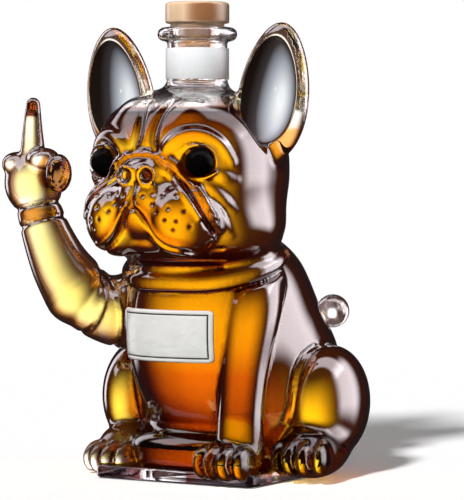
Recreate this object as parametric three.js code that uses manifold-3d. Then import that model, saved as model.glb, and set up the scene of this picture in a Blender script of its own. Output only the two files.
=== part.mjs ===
// A whisky bottle blown in the shape of a sitting bulldog that raises its right foreleg.
// Millimetres, +Z up. The dog looks along -Y, and its left side is +X.
// The origin is the middle of the base plate's underside. Places on the dog are measured
// from the top of the plate, because the whole figure stands on it.

import * as THREE from 'three';
import { mergeVertices } from 'three/addons/utils/BufferGeometryUtils.js';
import Module from 'manifold-3d';

const wasm = await Module();
wasm.setup();

// Glass and clearances
const WALL = 3.5; // wall of every blown piece
const SEAM = 0.3; // line left where two pieces are fused or seated
const GROUND_GAP = 0.6; // from the paws to the table, so that only the plate stands on it

// Base plate
const BASE_WIDTH = 88;
const BASE_DEPTH = 81;
const BASE_HEIGHT = 6;
const BASE_CORNER = 4;
const BASE_BEVEL = 1;

// Torso: egg-shaped sections, each with its height, middle, half width and half depth
const TORSO = [
  [0, 18, 34, 28], [12, 17.5, 42, 39.5], [30, 14.7, 48, 48], [48, 11, 49.5, 51.5], [62, 7.5, 48, 50.5],
  [78, 5, 44, 47], [92, 5, 38.5, 42], [104, 0.6, 29.5, 37.7], [110, -2.3, 23, 31.7], [113.5, -6, 19, 24],
];
const TORSO_EGG = 0.2; // how much wider the sections are behind than in front

// Head: places of its features are measured from the middle of the skull
const HEAD_AT = [0, -22, 141];
const SKULL = { at: HEAD_AT, half: [45, 42, 39], square: 2.4 };
const JAW_DROP = 30; // below the middle of the skull
const MUZZLE_REACH = 32; // in front of the middle of the skull
const MUZZLE_DROP = 17;
const JOWL_OUT = 17.2; // from the middle of the face
const JAW = { at: fromHead([0, 2, -JAW_DROP]), half: [43.5, 39, 19] };
const MUZZLE = { at: fromHead([0, -MUZZLE_REACH, -MUZZLE_DROP]), half: [22, 20, 18] };
const CHIN = { at: fromHead([0, 6.5 - MUZZLE_REACH, -6.5 - JAW_DROP]), half: [22, 16.5, 11] };
const NOSE = { at: fromHead([0, -9.5 - MUZZLE_REACH, -2]), half: [11.5, 7, 7.5] };
const JOWL = {
  at: fromHead([JOWL_OUT, -2 - MUZZLE_REACH, -7.5 - MUZZLE_DROP]), half: [16.5, 18.2, 19], turn: [0, 0, -12],
};
const FOREHEAD = { at: fromHead([14, -23, 18]), half: [13, 12, 16] };
const BROW = [
  [9, -38, 4.5, 3.5], [14, -36.5, 11.5, 4.4], [25, -34, 15.8, 4.8], [34.5, -30.5, 14, 4.4], [40, -25, 8.5, 3],
];
const NOSE_FOLD = [[0, -42, 6, 3.2], [20, -39, -0.5, 3.4], [26, -36.5, -9.4, 3.4], [31, -22, -26, 3]];

// Eyes, set in pockets of the skull
const EYE_RADIUS = 6.6;
const EYE_OUT = 26.3; // from the middle of the face
const EYE_RISE = 3.5;
const EYE_SINK = 2.2; // from the skull's surface to the middle of the eye

// Ears, with a hollow cup in front
const EAR_IN = 1.8; // from the widest line of the skull
const EAR_RISE = 35.8;
const EAR_BACK = 3.5;
const EAR_HALF = [18, 8.5, 33];
const EAR_LEAN = 9; // degrees outwards
const EAR_RIM = 3.5; // width of the rim round the cup
const EAR_CUP_DEPTH = 9.5;
const EAR_CUP_LIFT = 3;

// Limbs: each row is a place on the centre line and the radius there
const ARM = [
  [-30, -8, 74, 22], [-51, -15, 72.5, 18.5], [-65, -20, 77.5, 16],
  [-75.5, -24, 93, 13.8], [-81.7, -26, 108.5, 12], [-85.3, -27, 121, 10.9],
];
const FORELEG = [
  [30, -10, 90, 15], [32, -18, 74, 14.5], [31, -23, 49, 12], [30.5, -26, 26, 11], [30.5, -27, 10, 11],
];
const LEFT_HAUNCH = { at: [51, 21, 29.5], half: [16.5, 26.5, 27.5] };
const RIGHT_HAUNCH = { at: [-51, 14, 30], half: [17, 27, 28] };

// Raised paw: places are measured from the wrist, the last row of the arm
const FIST = { at: fromWrist([-3.2, 0, 13.5]), half: [15, 13, 16] };
const KNUCKLES = [
  { at: fromWrist([-11.2, -3, 22.5]), half: [7, 8, 6] },
  { at: fromWrist([5.8, -4, 24.5]), half: [8, 8, 6] },
];
const THUMB = { at: fromWrist([15.3, -7.5, 18.5]), half: [8, 7.5, 9.5] };
const FINGER = [[-2.3, -2, 24, 6.6], [-2.3, -2, 39, 4.9], [-2, -2, 51.5, 3.5]];

// Standing paws: a foot with four toes, at the middle of the toes
const TOES = 4;
const TOE_STEP = 6.6;
const TOE_HALF = [4.2, 10, 8.5];
const TOE_REACH = 6;
const TOE_ROUNDING = 1.2; // how far the outer toes stand back, over the square of their place
const TOE_SPLAY = 4; // degrees
const FOOT_HALF = [12.5, 15, 10];
const FOOT_SHIFT = [0, 6, 2];
const FORE_PAW = { at: [29.5, -36, 5], turn: 0 };
const LEFT_HIND_PAW = { at: [54, -8, 6], turn: 8 };
const RIGHT_HIND_PAW = { at: [-43, -20, 1.5], turn: -12 };

// Tail knob, on the back and left of the spine
const TAIL_RADIUS = 8.2;
const TAIL_RISE = 71;
const TAIL_TURN = 58; // degrees from the left side towards the spine
const TAIL_SINK = 0.8; // how deep the knob is pressed into the back

// Neck, over the crown of the skull
const NECK_BACK = 5; // behind the middle of the skull
const NECK_HEIGHT = 28.2;
const NECK_DIAMETER = 28.5;
const BORE_DIAMETER = 19;
const LIP_DIAMETER = 38;
const LIP_SECTION = 6.6;

// Paper band round the neck
const BAND_RISE = 3.6; // above the crown
const BAND_HEIGHT = 14.7;
const BAND_THICKNESS = 0.5;

// Stopper: a turned cap glued to a cork
const CAP_DIAMETER = 30.4;
const CAP_HEIGHT = 10.1;
const CAP_ROUNDING = 1.2;
const SHOULDER_DIAMETER = 25.7;
const SHOULDER_HEIGHT = 1.7;
const CORK_LENGTH = 24; // below the shoulder
const CORK_TENON = 6; // glued into the cap
const CORK_CHAMFER = 1.2;

// Label plate on the chest
const LABEL_WIDTH = 54;
const LABEL_HEIGHT = 24.5;
const LABEL_CORNER = 3.5;
const LABEL_THICKNESS = 1.2;
const LABEL_AT = [-4.8, 63]; // sideways and up

// Whisky
const FILL_DROP = 12; // from the crown of the skull to the whisky's surface

// Facets
const LATHE_SIDES = 28;
const TORSO_SIDES = 24;
const TORSO_STEPS = 12;
const LIMB_SIDES = 11;
const LIMB_STEPS = 2; // between two rows
const CAP_RINGS = 3;
const BLOB_SIDES = 6;
const BLOB_SIDES_PER_MM = 0.28;
const BLOB_RINGS = 0.55; // over the sides
const HOLLOW_FACETS = 0.65; // the inside has fewer facets than the outside
const EYE_FACETS = 1.5;
const ARC_STEPS = 3;
const FAR = 400; // beyond the whole bottle

// Places that follow from the sizes above
const CROWN = HEAD_AT[2] + SKULL.half[2];
const NECK_AT = [HEAD_AT[0], HEAD_AT[1] + NECK_BACK];
const LIP_TOP = CROWN + NECK_HEIGHT;
const FILL_LEVEL = CROWN - FILL_DROP;
const BORE = BORE_DIAMETER / 2;
const CORK_RADIUS = BORE - SEAM;
const EYE_POCKET = EYE_RADIUS + SEAM;

function fromHead(shift) {
  return HEAD_AT.map((value, axis) => value + shift[axis]);
}

function fromWrist(shift) {
  const wrist = ARM[ARM.length - 1];
  return shift.map((value, axis) => wrist[axis] + value);
}

// Rows of a limb, moved by a place
function movedRows(rows, place) {
  return rows.map(([x, y, z, radius]) => [place[0] + x, place[1] + y, place[2] + z, radius]);
}

// The same form on the other side of the dog
function mirrored(form) {
  const [tipX, tipY, tipZ] = form.turn ?? [0, 0, 0];
  return { ...form, at: [-form.at[0], form.at[1], form.at[2]], turn: [tipX, -tipY, -tipZ] };
}

function mirroredRows(rows) {
  return rows.map(([x, y, z, radius]) => [-x, y, z, radius]);
}

// A closed geometry as a solid that can be joined and cut
function solid(geometry) {
  const bare = new THREE.BufferGeometry();
  bare.setAttribute('position', geometry.attributes.position);
  bare.setIndex(geometry.index);
  const merged = mergeVertices(bare, 1e-4);
  const corners = merged.index.array;
  const triangles = [];
  for (let i = 0; i < corners.length; i += 3) {
    const [a, b, c] = corners.slice(i, i + 3);
    if (a !== b && b !== c && c !== a) triangles.push(a, b, c);
  }
  return new wasm.Manifold(new wasm.Mesh({
    numProp: 3,
    vertProperties: new Float32Array(merged.attributes.position.array),
    triVerts: new Uint32Array(triangles),
  }));
}

function joined(solids) {
  return solids.reduce((whole, next) => whole.add(next));
}

// A swelling: a sphere stretched to three half sizes, squarer where square is over 2
function blob({ at, half, turn = [0, 0, 0], square = 2 }, grow = 0, facets = 1) {
  const sides = Math.round((BLOB_SIDES + Math.max(...half) * BLOB_SIDES_PER_MM) * facets);
  const geometry = new THREE.SphereGeometry(1, sides, Math.round(sides * BLOB_RINGS));
  const position = geometry.attributes.position;
  const point = new THREE.Vector3();
  for (let i = 0; i < position.count; i += 1) {
    point.fromBufferAttribute(position, i);
    const powers = Math.abs(point.x) ** square + Math.abs(point.y) ** square + Math.abs(point.z) ** square;
    point.multiplyScalar(powers ** (-1 / square));
    position.setXYZ(i, point.x, point.y, point.z);
  }
  geometry.rotateX(Math.PI / 2);
  geometry.scale(...half.map((value) => value + grow));
  const [tipX, tipY, tipZ] = turn.map((value) => THREE.MathUtils.degToRad(value));
  geometry.rotateX(tipX);
  geometry.rotateY(tipY);
  geometry.rotateZ(tipZ);
  geometry.translate(...at);
  return solid(geometry);
}

// One column of the rows as a smooth function of the place along them, from 0 to 1
function column(rows, index) {
  const curve = new THREE.SplineCurve(rows.map((row, i) => new THREE.Vector2(i, row[index])));
  return (place) => curve.getPoint(place).y;
}

// A limb: a capsule bent along its rows, as thick as each row says
function limb(rows, grow = 0, facets = 1) {
  const path = new THREE.CatmullRomCurve3(rows.map(([x, y, z]) => new THREE.Vector3(x, y, z)));
  const girth = column(rows, 3);
  const steps = LIMB_STEPS * (rows.length - 1);
  const geometry = new THREE.CapsuleGeometry(1, 2, CAP_RINGS, Math.round(LIMB_SIDES * facets), steps);
  const position = geometry.attributes.position;
  const across = new THREE.Vector3(0, 1, 0);
  for (let i = 0; i < position.count; i += 1) {
    const along = THREE.MathUtils.clamp(position.getY(i), -1, 1);
    const beyond = position.getY(i) - along;
    const place = (along + 1) / 2;
    const tangent = path.getTangent(place);
    const side = new THREE.Vector3().crossVectors(across, tangent).normalize();
    const front = new THREE.Vector3().crossVectors(side, tangent);
    const radius = girth(place) + grow;
    const point = path.getPoint(place);
    point.addScaledVector(side, position.getX(i) * radius);
    point.addScaledVector(front, position.getZ(i) * radius);
    point.addScaledVector(tangent, beyond * radius);
    position.setXYZ(i, point.x, point.y, point.z);
  }
  return solid(geometry);
}

// A point of the torso's section at a place along its rows
function torsoPoint(place, angle, grow) {
  const [height, middle, wide, deep] = [0, 1, 2, 3].map((index) => column(TORSO, index)(place));
  const egg = 1 + TORSO_EGG * Math.sin(angle);
  return [(wide + grow) * Math.cos(angle) * egg, middle + (deep + grow) * Math.sin(angle), height];
}

// The torso: a cylinder whose rings take the sections
function torsoForm(grow, facets = 1) {
  const sides = Math.round(TORSO_SIDES * facets);
  const geometry = new THREE.CylinderGeometry(1, 1, 1, sides, Math.round(TORSO_STEPS * facets));
  geometry.rotateX(Math.PI / 2);
  const position = geometry.attributes.position;
  for (let i = 0; i < position.count; i += 1) {
    const place = position.getZ(i) + 0.5;
    const spread = Math.hypot(position.getX(i), position.getY(i));
    const [x, y, z] = torsoPoint(place, Math.atan2(position.getY(i), position.getX(i)), grow);
    const middle = column(TORSO, 1)(place);
    position.setXYZ(i, x * spread, middle + (y - middle) * spread, z);
  }
  return solid(geometry);
}

// A turned piece from its outline of [radius, height], which closes on itself or on the axis
function turned(outline, place = [0, 0]) {
  const points = outline.map(([radius, height]) => new THREE.Vector2(radius, height));
  const geometry = new THREE.LatheGeometry(points, LATHE_SIDES);
  geometry.rotateX(Math.PI / 2);
  geometry.translate(place[0], place[1], 0);
  return solid(geometry);
}

// Points of an arc in a turned outline
function arc(radius, height, size, from, to) {
  return Array.from({ length: ARC_STEPS + 1 }, (_, i) => {
    const angle = THREE.MathUtils.degToRad(from + ((to - from) * i) / ARC_STEPS);
    return [radius + size * Math.cos(angle), height + size * Math.sin(angle)];
  });
}

function box(low, high) {
  const size = high.map((value, axis) => value - low[axis]);
  const geometry = new THREE.BoxGeometry(...size);
  geometry.translate(...low.map((value, axis) => value + size[axis] / 2));
  return solid(geometry);
}

function roundedRectangle(width, height, corner) {
  const shape = new THREE.Shape();
  const x = width / 2 - corner;
  const y = height / 2 - corner;
  shape.absarc(x, y, corner, 0, Math.PI / 2);
  shape.absarc(-x, y, corner, Math.PI / 2, Math.PI);
  shape.absarc(-x, -y, corner, Math.PI, 1.5 * Math.PI);
  shape.absarc(x, -y, corner, 1.5 * Math.PI, 2 * Math.PI);
  shape.closePath();
  return shape;
}

// The front of the skull over a place on the face
function skullFront(x, z) {
  const [wide, deep, high] = SKULL.half;
  const left = 1 - Math.abs(x / wide) ** SKULL.square - Math.abs(z / high) ** SKULL.square;
  return HEAD_AT[1] - deep * left ** (1 / SKULL.square);
}

// Everything above a height
function above(height) {
  return box([-FAR, -FAR, height], [FAR, FAR, FAR]);
}

function below(height) {
  return box([-FAR, -FAR, -FAR], [FAR, FAR, height]);
}

// Forms of the dog, each at its outer surface plus grow
function headForm(grow) {
  const middle = [SKULL, JAW, MUZZLE, CHIN, NOSE];
  const sides = [JOWL, FOREHEAD].flatMap((form) => [form, mirrored(form)]);
  const folds = [BROW, NOSE_FOLD].flatMap((rows) => [rows, mirroredRows(rows)]);
  return joined([
    ...[...middle, ...sides].map((form) => blob(form, grow)),
    ...folds.map((rows) => limb(movedRows(rows, HEAD_AT), grow)),
  ]);
}

function haunchForm(haunch, grow) {
  return blob(haunch, grow);
}

function eyeBall(side, radius) {
  const y = skullFront(EYE_OUT, EYE_RISE) + EYE_SINK;
  const at = [HEAD_AT[0] + side * EYE_OUT, y, HEAD_AT[2] + EYE_RISE];
  return blob({ at, half: [radius, radius, radius] }, 0, EYE_FACETS);
}

function fistForm(grow) {
  return joined([FIST, ...KNUCKLES, THUMB].map((form) => blob(form, grow)));
}

// The space inside all blown pieces, less the glass behind the eyes
function hollow(shrink) {
  const grow = -WALL - shrink;
  const wrist = ARM[ARM.length - 1];
  const sleeve = [wrist, [...FIST.at, wrist[3]]];
  const spaces = [SKULL, JAW, MUZZLE, JOWL, mirrored(JOWL)];
  const whole = joined([
    torsoForm(grow, HOLLOW_FACETS),
    ...[...spaces, LEFT_HAUNCH, RIGHT_HAUNCH, FIST].map((form) => blob(form, grow, HOLLOW_FACETS)),
    ...[ARM, sleeve, FORELEG].map((rows) => limb(rows, grow, HOLLOW_FACETS)),
  ]);
  return whole
    .intersect(above(SEAM + WALL + shrink))
    .subtract(eyeBall(1, EYE_POCKET + WALL + shrink))
    .subtract(eyeBall(-1, EYE_POCKET + WALL + shrink));
}

function basePlate(grow) {
  const shape = roundedRectangle(
    BASE_WIDTH - 2 * BASE_BEVEL + 2 * grow, BASE_DEPTH - 2 * BASE_BEVEL + 2 * grow, BASE_CORNER,
  );
  const geometry = new THREE.ExtrudeGeometry(shape, {
    depth: BASE_HEIGHT - 2 * BASE_BEVEL + 2 * grow,
    bevelSize: BASE_BEVEL,
    bevelThickness: BASE_BEVEL,
    bevelSegments: 1,
    curveSegments: ARC_STEPS,
  });
  geometry.translate(0, 0, BASE_BEVEL - BASE_HEIGHT - grow);
  return solid(geometry);
}

function neckTube() {
  const neck = NECK_DIAMETER / 2;
  const section = LIP_SECTION / 2;
  const lip = LIP_DIAMETER / 2 - section;
  const foot = CROWN - NECK_HEIGHT;
  return turned([
    [BORE, foot], [neck, foot], [neck, LIP_TOP - LIP_SECTION],
    ...arc(lip, LIP_TOP - section, section, -90, 90),
    [BORE, LIP_TOP], [BORE, foot],
  ], NECK_AT);
}

function stopperCap() {
  const cap = CAP_DIAMETER / 2;
  const shoulder = SHOULDER_DIAMETER / 2;
  const recess = CORK_RADIUS + SEAM;
  const foot = LIP_TOP + SEAM;
  const ledge = foot + SHOULDER_HEIGHT;
  const top = ledge + CAP_HEIGHT;
  return turned([
    [0, foot + CORK_TENON + SEAM], [recess, foot + CORK_TENON + SEAM], [recess, foot], [shoulder, foot],
    [shoulder, ledge], [cap - CAP_ROUNDING, ledge],
    ...arc(cap - CAP_ROUNDING, ledge + CAP_ROUNDING, CAP_ROUNDING, -90, 0),
    ...arc(cap - CAP_ROUNDING, top - CAP_ROUNDING, CAP_ROUNDING, 0, 90),
    [0, top],
  ], NECK_AT);
}

function stopperCork() {
  const foot = LIP_TOP + SEAM - CORK_LENGTH;
  const top = LIP_TOP + SEAM + CORK_TENON;
  return turned([
    [0, foot], [CORK_RADIUS - CORK_CHAMFER, foot], [CORK_RADIUS, foot + CORK_CHAMFER],
    [CORK_RADIUS, top], [0, top],
  ], NECK_AT);
}

function neckBand() {
  const inner = NECK_DIAMETER / 2 + SEAM;
  const outer = inner + BAND_THICKNESS;
  const low = CROWN + BAND_RISE;
  const high = low + BAND_HEIGHT;
  return turned([[inner, low], [outer, low], [outer, high], [inner, high], [inner, low]], NECK_AT);
}

function ear(side) {
  const at = [HEAD_AT[0] + side * (SKULL.half[0] - EAR_IN), HEAD_AT[1] + EAR_BACK, HEAD_AT[2] + EAR_RISE];
  const turn = [0, side * EAR_LEAN, 0];
  const cupAt = [at[0], at[1] - EAR_HALF[1], at[2] + EAR_CUP_LIFT];
  const cupHalf = [EAR_HALF[0] - EAR_RIM, EAR_CUP_DEPTH, EAR_HALF[2] - EAR_RIM - EAR_CUP_LIFT];
  return blob({ at, half: EAR_HALF, turn }).subtract(blob({ at: cupAt, half: cupHalf, turn }));
}

function raisedPaw() {
  return fistForm(0).add(limb(movedRows(FINGER, fromWrist([0, 0, 0]))));
}

function standingPaw({ at, turn }) {
  const rotate = THREE.MathUtils.degToRad(turn);
  const placed = ([x, y, z]) => [
    at[0] + x * Math.cos(rotate) - y * Math.sin(rotate),
    at[1] + x * Math.sin(rotate) + y * Math.cos(rotate),
    at[2] + z,
  ];
  const foot = blob({ at: placed(FOOT_SHIFT), half: FOOT_HALF, turn: [0, 0, turn] });
  const toes = Array.from({ length: TOES }, (_, i) => {
    const place = i - (TOES - 1) / 2;
    const reach = TOE_ROUNDING * place ** 2 - TOE_REACH;
    return blob({
      at: placed([place * TOE_STEP, reach, 0]), half: TOE_HALF, turn: [0, 0, turn + TOE_SPLAY * place],
    });
  });
  return joined([foot, ...toes]).intersect(above(GROUND_GAP - BASE_HEIGHT));
}

function tailKnob() {
  const heights = TORSO.map((row) => row[0]);
  const next = heights.findIndex((height) => height > TAIL_RISE);
  const share = (TAIL_RISE - heights[next - 1]) / (heights[next] - heights[next - 1]);
  const place = (next - 1 + share) / (TORSO.length - 1);
  const at = torsoPoint(place, THREE.MathUtils.degToRad(TAIL_TURN), TAIL_RADIUS - TAIL_SINK);
  return blob({ at, half: [TAIL_RADIUS, TAIL_RADIUS, TAIL_RADIUS] });
}

// The chest with the two shoulders that the label reaches over
function chestForm(grow) {
  return joined([torsoForm(grow), limb(ARM, grow), limb(FORELEG, grow)]);
}

function labelPlate() {
  const geometry = new THREE.ExtrudeGeometry(roundedRectangle(LABEL_WIDTH, LABEL_HEIGHT, LABEL_CORNER), {
    depth: FAR, bevelEnabled: false, curveSegments: ARC_STEPS,
  });
  geometry.rotateX(Math.PI / 2);
  geometry.translate(LABEL_AT[0], 0, LABEL_AT[1]);
  return chestForm(SEAM + LABEL_THICKNESS).intersect(solid(geometry)).subtract(chestForm(SEAM));
}

// Solids that cut their neighbours, each grown by the seam
const inside = hollow(0);
const overPlate = above(SEAM);
const headCut = headForm(SEAM);
const torsoCut = torsoForm(SEAM).subtract(headForm(0));
const plateCut = basePlate(SEAM);
const armCut = limb(ARM, SEAM);
const forelegCut = limb(FORELEG, SEAM);
const leftHaunchCut = haunchForm(LEFT_HAUNCH, SEAM);
const rightHaunchCut = haunchForm(RIGHT_HAUNCH, SEAM);

function less(whole, ...cuts) {
  return cuts.reduce((rest, cut) => rest.subtract(cut), whole);
}

// Finishes of the pieces
const GLASS = { color: 0xd8dde2, roughness: 0.04, metalness: 0, transparent: true, opacity: 0.45 };
const EYE_GLASS = { color: 0x08090b, roughness: 0.06, metalness: 0 };
const WOOD = { color: 0xc79a6a, roughness: 0.6, metalness: 0 };
const CORK = { color: 0xb98255, roughness: 0.85, metalness: 0 };
const PAPER = { color: 0xe9eef2, roughness: 0.7, metalness: 0 };
const PEWTER = { color: 0xc9ccc9, roughness: 0.35, metalness: 0.6 };
const WHISKY = { color: 0xb4560c, roughness: 0.02, metalness: 0, transparent: true, opacity: 0.8 };

const bore = turned([[0, HEAD_AT[2]], [BORE, HEAD_AT[2]], [BORE, LIP_TOP], [0, LIP_TOP]], NECK_AT);
const headShell = less(headForm(0), inside, bore, eyeBall(1, EYE_POCKET), eyeBall(-1, EYE_POCKET));
const torsoShell = less(torsoForm(0), inside, headCut).intersect(overPlate);

const pieces = [
  ['head_shell', headShell, GLASS],
  ['torso_shell', torsoShell, GLASS],
  ['neck_tube', less(neckTube(), headCut), GLASS],
  ['left_ear', less(ear(1), headCut), GLASS],
  ['right_ear', less(ear(-1), headCut), GLASS],
  ['raised_arm', less(limb(ARM), inside, torsoCut, headCut), GLASS],
  ['raised_paw', less(raisedPaw(), inside, armCut), GLASS],
  ['left_foreleg', less(limb(FORELEG), inside, torsoCut, headCut).intersect(overPlate), GLASS],
  ['left_haunch', less(haunchForm(LEFT_HAUNCH, 0), inside, torsoCut, plateCut), GLASS],
  ['right_haunch', less(haunchForm(RIGHT_HAUNCH, 0), inside, torsoCut, armCut, plateCut), GLASS],
  ['left_fore_paw', less(standingPaw(FORE_PAW), forelegCut, torsoCut, plateCut), GLASS],
  ['left_hind_paw', less(standingPaw(LEFT_HIND_PAW), leftHaunchCut, torsoCut, plateCut), GLASS],
  ['right_hind_paw', less(standingPaw(RIGHT_HIND_PAW), rightHaunchCut, torsoCut, plateCut), GLASS],
  ['tail_knob', less(tailKnob(), torsoCut), GLASS],
  ['base_plate', basePlate(0), GLASS],
  ['left_eye', eyeBall(1, EYE_RADIUS), EYE_GLASS],
  ['right_eye', eyeBall(-1, EYE_RADIUS), EYE_GLASS],
  ['stopper_cap', stopperCap(), WOOD],
  ['stopper_cork', stopperCork(), CORK],
  ['neck_band', neckBand(), PAPER],
  ['label_plate', labelPlate(), PEWTER],
  ['whisky_fill', hollow(SEAM).intersect(below(FILL_LEVEL)), WHISKY],
];

function pieceMesh([name, whole, finish]) {
  const { vertProperties, triVerts } = whole.getMesh();
  const geometry = new THREE.BufferGeometry();
  geometry.setAttribute('position', new THREE.BufferAttribute(vertProperties, 3));
  geometry.setIndex(new THREE.BufferAttribute(triVerts, 1));
  geometry.computeVertexNormals();
  const mesh = new THREE.Mesh(geometry, new THREE.MeshStandardMaterial(finish));
  mesh.name = name;
  return mesh;
}

const figure = new THREE.Group();
figure.position.z = BASE_HEIGHT;
figure.add(...pieces.map(pieceMesh));

const bottle = new THREE.Group();
bottle.add(figure);

export default bottle;
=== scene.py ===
import functools
import math

import bmesh
import bpy
import numpy as np
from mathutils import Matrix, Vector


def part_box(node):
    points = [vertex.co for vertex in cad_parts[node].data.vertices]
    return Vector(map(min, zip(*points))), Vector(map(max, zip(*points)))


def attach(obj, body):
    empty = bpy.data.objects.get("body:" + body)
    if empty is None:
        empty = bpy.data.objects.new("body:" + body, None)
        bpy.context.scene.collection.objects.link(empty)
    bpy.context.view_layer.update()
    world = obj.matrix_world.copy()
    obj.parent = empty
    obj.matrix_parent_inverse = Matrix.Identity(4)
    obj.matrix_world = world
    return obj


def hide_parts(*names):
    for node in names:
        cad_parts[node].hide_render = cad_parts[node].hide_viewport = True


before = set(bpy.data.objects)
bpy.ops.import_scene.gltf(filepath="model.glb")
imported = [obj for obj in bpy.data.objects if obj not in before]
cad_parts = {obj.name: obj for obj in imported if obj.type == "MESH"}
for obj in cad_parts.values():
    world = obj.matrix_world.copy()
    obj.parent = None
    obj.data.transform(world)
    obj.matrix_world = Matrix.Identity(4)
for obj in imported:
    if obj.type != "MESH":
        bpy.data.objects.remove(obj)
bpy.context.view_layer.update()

import openvdb
from bpy.props import FloatProperty, FloatVectorProperty, PointerProperty
from mathutils import Vector

bl_info = {
    "name": "Sitting Dog Decanter",
    "version": (1, 0, 0),
    "blender": (4, 5, 0),
    "location": "3D View > Sidebar > Decanter",
    "description": "Builds a glass decanter in the form of a sitting dog, filled with whisky",
    "category": "Add Mesh",
}

MM = 0.001

# All form tables below are in millimetres, with the decanter standing on z = 0 and facing -Y.
# A swelling is (centre, radii, turn about x y z in degrees, roundness power).
# A limb row is (x, y, z, radius). A face row is (heading in degrees, height, radius).

BODY_SWELLINGS = (
    ((0, 20, 45), (50, 44, 47), (0, 0, 0), 2.3, 0),
    ((0, 12, 84), (40.5, 38, 36), (0, 0, 0), 2.0, 14),
    ((0, -8, 72), (37.5, 35, 50), (0, 0, 0), 2.3, 12),
    ((51, 21, 35.5), (16.5, 26.5, 27.5), (0, 0, 0), 2.0, 4),
    ((-51, 14, 36), (17, 27, 28), (0, 0, 0), 2.0, 4),
    ((-4, 0, 13), (38, 33, 14), (0, 0, 0), 2.4, 5),
)
WIDE_MARGIN = 18.0
HOCKS = (((52, 4, 14), (14, 24, 13)), ((-46, -4, 13), (13, 22, 11)))
FORELEG = ((30, -11, 94, 13.5), (32, -20, 80, 14), (31, -25, 55, 12), (30.5, -27.5, 32, 11),
           (30.5, -28, 16, 11.5))
# The haunch fold is drawn as (sideways, height) on the skin, seen from the front quarter.
QUARTER_FRONT = (0.53, -0.848, 0)
QUARTER_RIGHT = (0.848, 0.53, 0)
HAUNCH_FOLD = ((47.5, 63.5), (41.5, 59.5), (37.5, 52.5), (35.2, 44), (34, 35), (32, 28.5))
HAUNCH_FOLD_LINES = ((0, 1.1), (2.6, 0.9))
HAUNCH_FOLD_SAG = 0.4
FORELEG_HOLLOW_END = (30.5, -28, 24, 10)
NECK_ROLL = ((0, -41, 93.5, 4), (20, -37.5, 94.1, 4), (34, -24, 97.5, 3.9), (39, -10, 102, 3),
             (38, 2, 106.5, 1.8))
NECK_CHANNEL = ((0, -44.5, 93.8, 5.3), (21.5, -41, 94.4, 5.3), (36.5, -26, 97.8, 5.1), (42.5, -11, 102.2, 4.2),
                (41, 1, 106.5, 3))
UPPER_ARM = ((-30, -8, 80, 22), (-44, -11, 78, 18.5), (-56, -14, 79.5, 16.3), (-66, -18, 85, 15))
FOREARM = ((-67, -20.5, 87.5, 16.8), (-75.2, -23.2, 100, 14.3), (-81.5, -25.4, 114.5, 12.2),
           (-85.3, -27, 127, 10.9))
FIST = ((-88.5, -27, 140.5), (15, 13, 16))
FIST_KNUCKLES = (((-96.5, -30, 149.5), (7, 8, 6)), ((-79.5, -31, 151.5), (8, 8, 6)))
# A groove round the arm is (centre, normal of its plane, radius).
ARM_GROOVES = (
    ((-85.7, -27, 129), (-0.25, 0, 1), 1.3),
    ((-83.6, -26.8, 121), (-0.35, 0, 1), 1.3),
    ((-62, -19, 79), (-0.55, -0.79, 0.27), 1.3),
    ((-53, -14, 76), (-0.66, -0.74, -0.09), 1.3),
)
THUMB_CURLS = (1.5, 4.0, 5.6)
THUMB_CURL_AXIS = (0.53, -0.85, 0)
WRIST = (121, 129)
THUMB = ((-68, -35, 145), (6.2, 7, 9.5))
FINGER = ((-87.6, -29, 151, 6.6), (-87.6, -29, 166, 4.9), (-87.3, -29, 178.5, 3.5))
PAWS = (((29.5, -36, 11), 0), ((54, -8, 12), 8), ((-43, -20, 7.5), -12))
PLATE_OVERLAP = 0.1
PAW_FOOT = 1.0
TOES = 4
TOE_STEP = 6.6
TAIL = ((33.3, 54.8, 77.3), (8.2, 8.2, 8.2))

HEAD_AXIS = (0, -22)
SKULL = ((0, -22, 147), (45, 42, 39), (0, 0, 0), 2.4, 5)
JAW = ((0, -20, 120), (44, 39.5, 22))
MUZZLE = ((0, -54, 130), (22, 20, 18))
JOWL = ((17.2, -56, 124.2), (16.5, 18.2, 17.8), (0, 0, -12))
CHIN = ((0, -47.5, 114.5), (21, 16.5, 8.2))
NOSE = ((0, -63.5, 145), (11.5, 7, 7.5))
FOREHEAD = ((14, -45, 165), (13, 12, 16))
NOSTRIL = ((5.7, -70.3, 144.2), (3.2, 3.6, 3.1))
NOSTRIL_RING = (4.2, 4.1, 1.2)

BROW = ((15.5, 152, 2.6), (17.5, 156.8, 3.2), (23, 160.4, 3.8), (31.5, 162.6, 4.0), (40.5, 162, 3.8),
        (48, 159.2, 3.2), (53, 155, 2.4), (56.5, 150.5, 1.6))
FURROW = ((13, 178, 1.5), (8.4, 172, 2.1), (6.4, 165, 2.3), (6.8, 159.5, 2.1), (8.6, 155, 1.5))
FOLD_CHANNEL = 2.2
FOLD_CHANNEL_DEPTH = 1.3
NOSE_FOLD = ((0, 154, 2.9), (8, 153.4, 2.9), (16, 151.2, 3.0), (25.5, 146.8, 3.1), (32, 141, 3.1), (37, 134.5, 3.1),
             (41.5, 127.5, 3.0), (49, 119.5, 2.4))
INNER_FOLD = ((0, 149.4, 1.6), (8, 148.8, 1.7), (15, 146.4, 1.8), (22, 142, 1.8), (27.5, 136.5, 1.8),
              (32, 130.5, 1.7), (36, 125, 1.5))
CHEEK_FOLDS = (
    ((44, 146, 2.4), (51, 143.8, 3.2), (59, 142.5, 1.4)),
    ((35, 141.6, 2.6), (43, 138, 3.6), (51, 133.5, 3.4), (59, 129, 1.4)),
    ((42.5, 132.5, 2.2), (47, 127.5, 3.0), (53, 121.5, 2.8), (59, 117, 1.4)),
)
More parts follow.
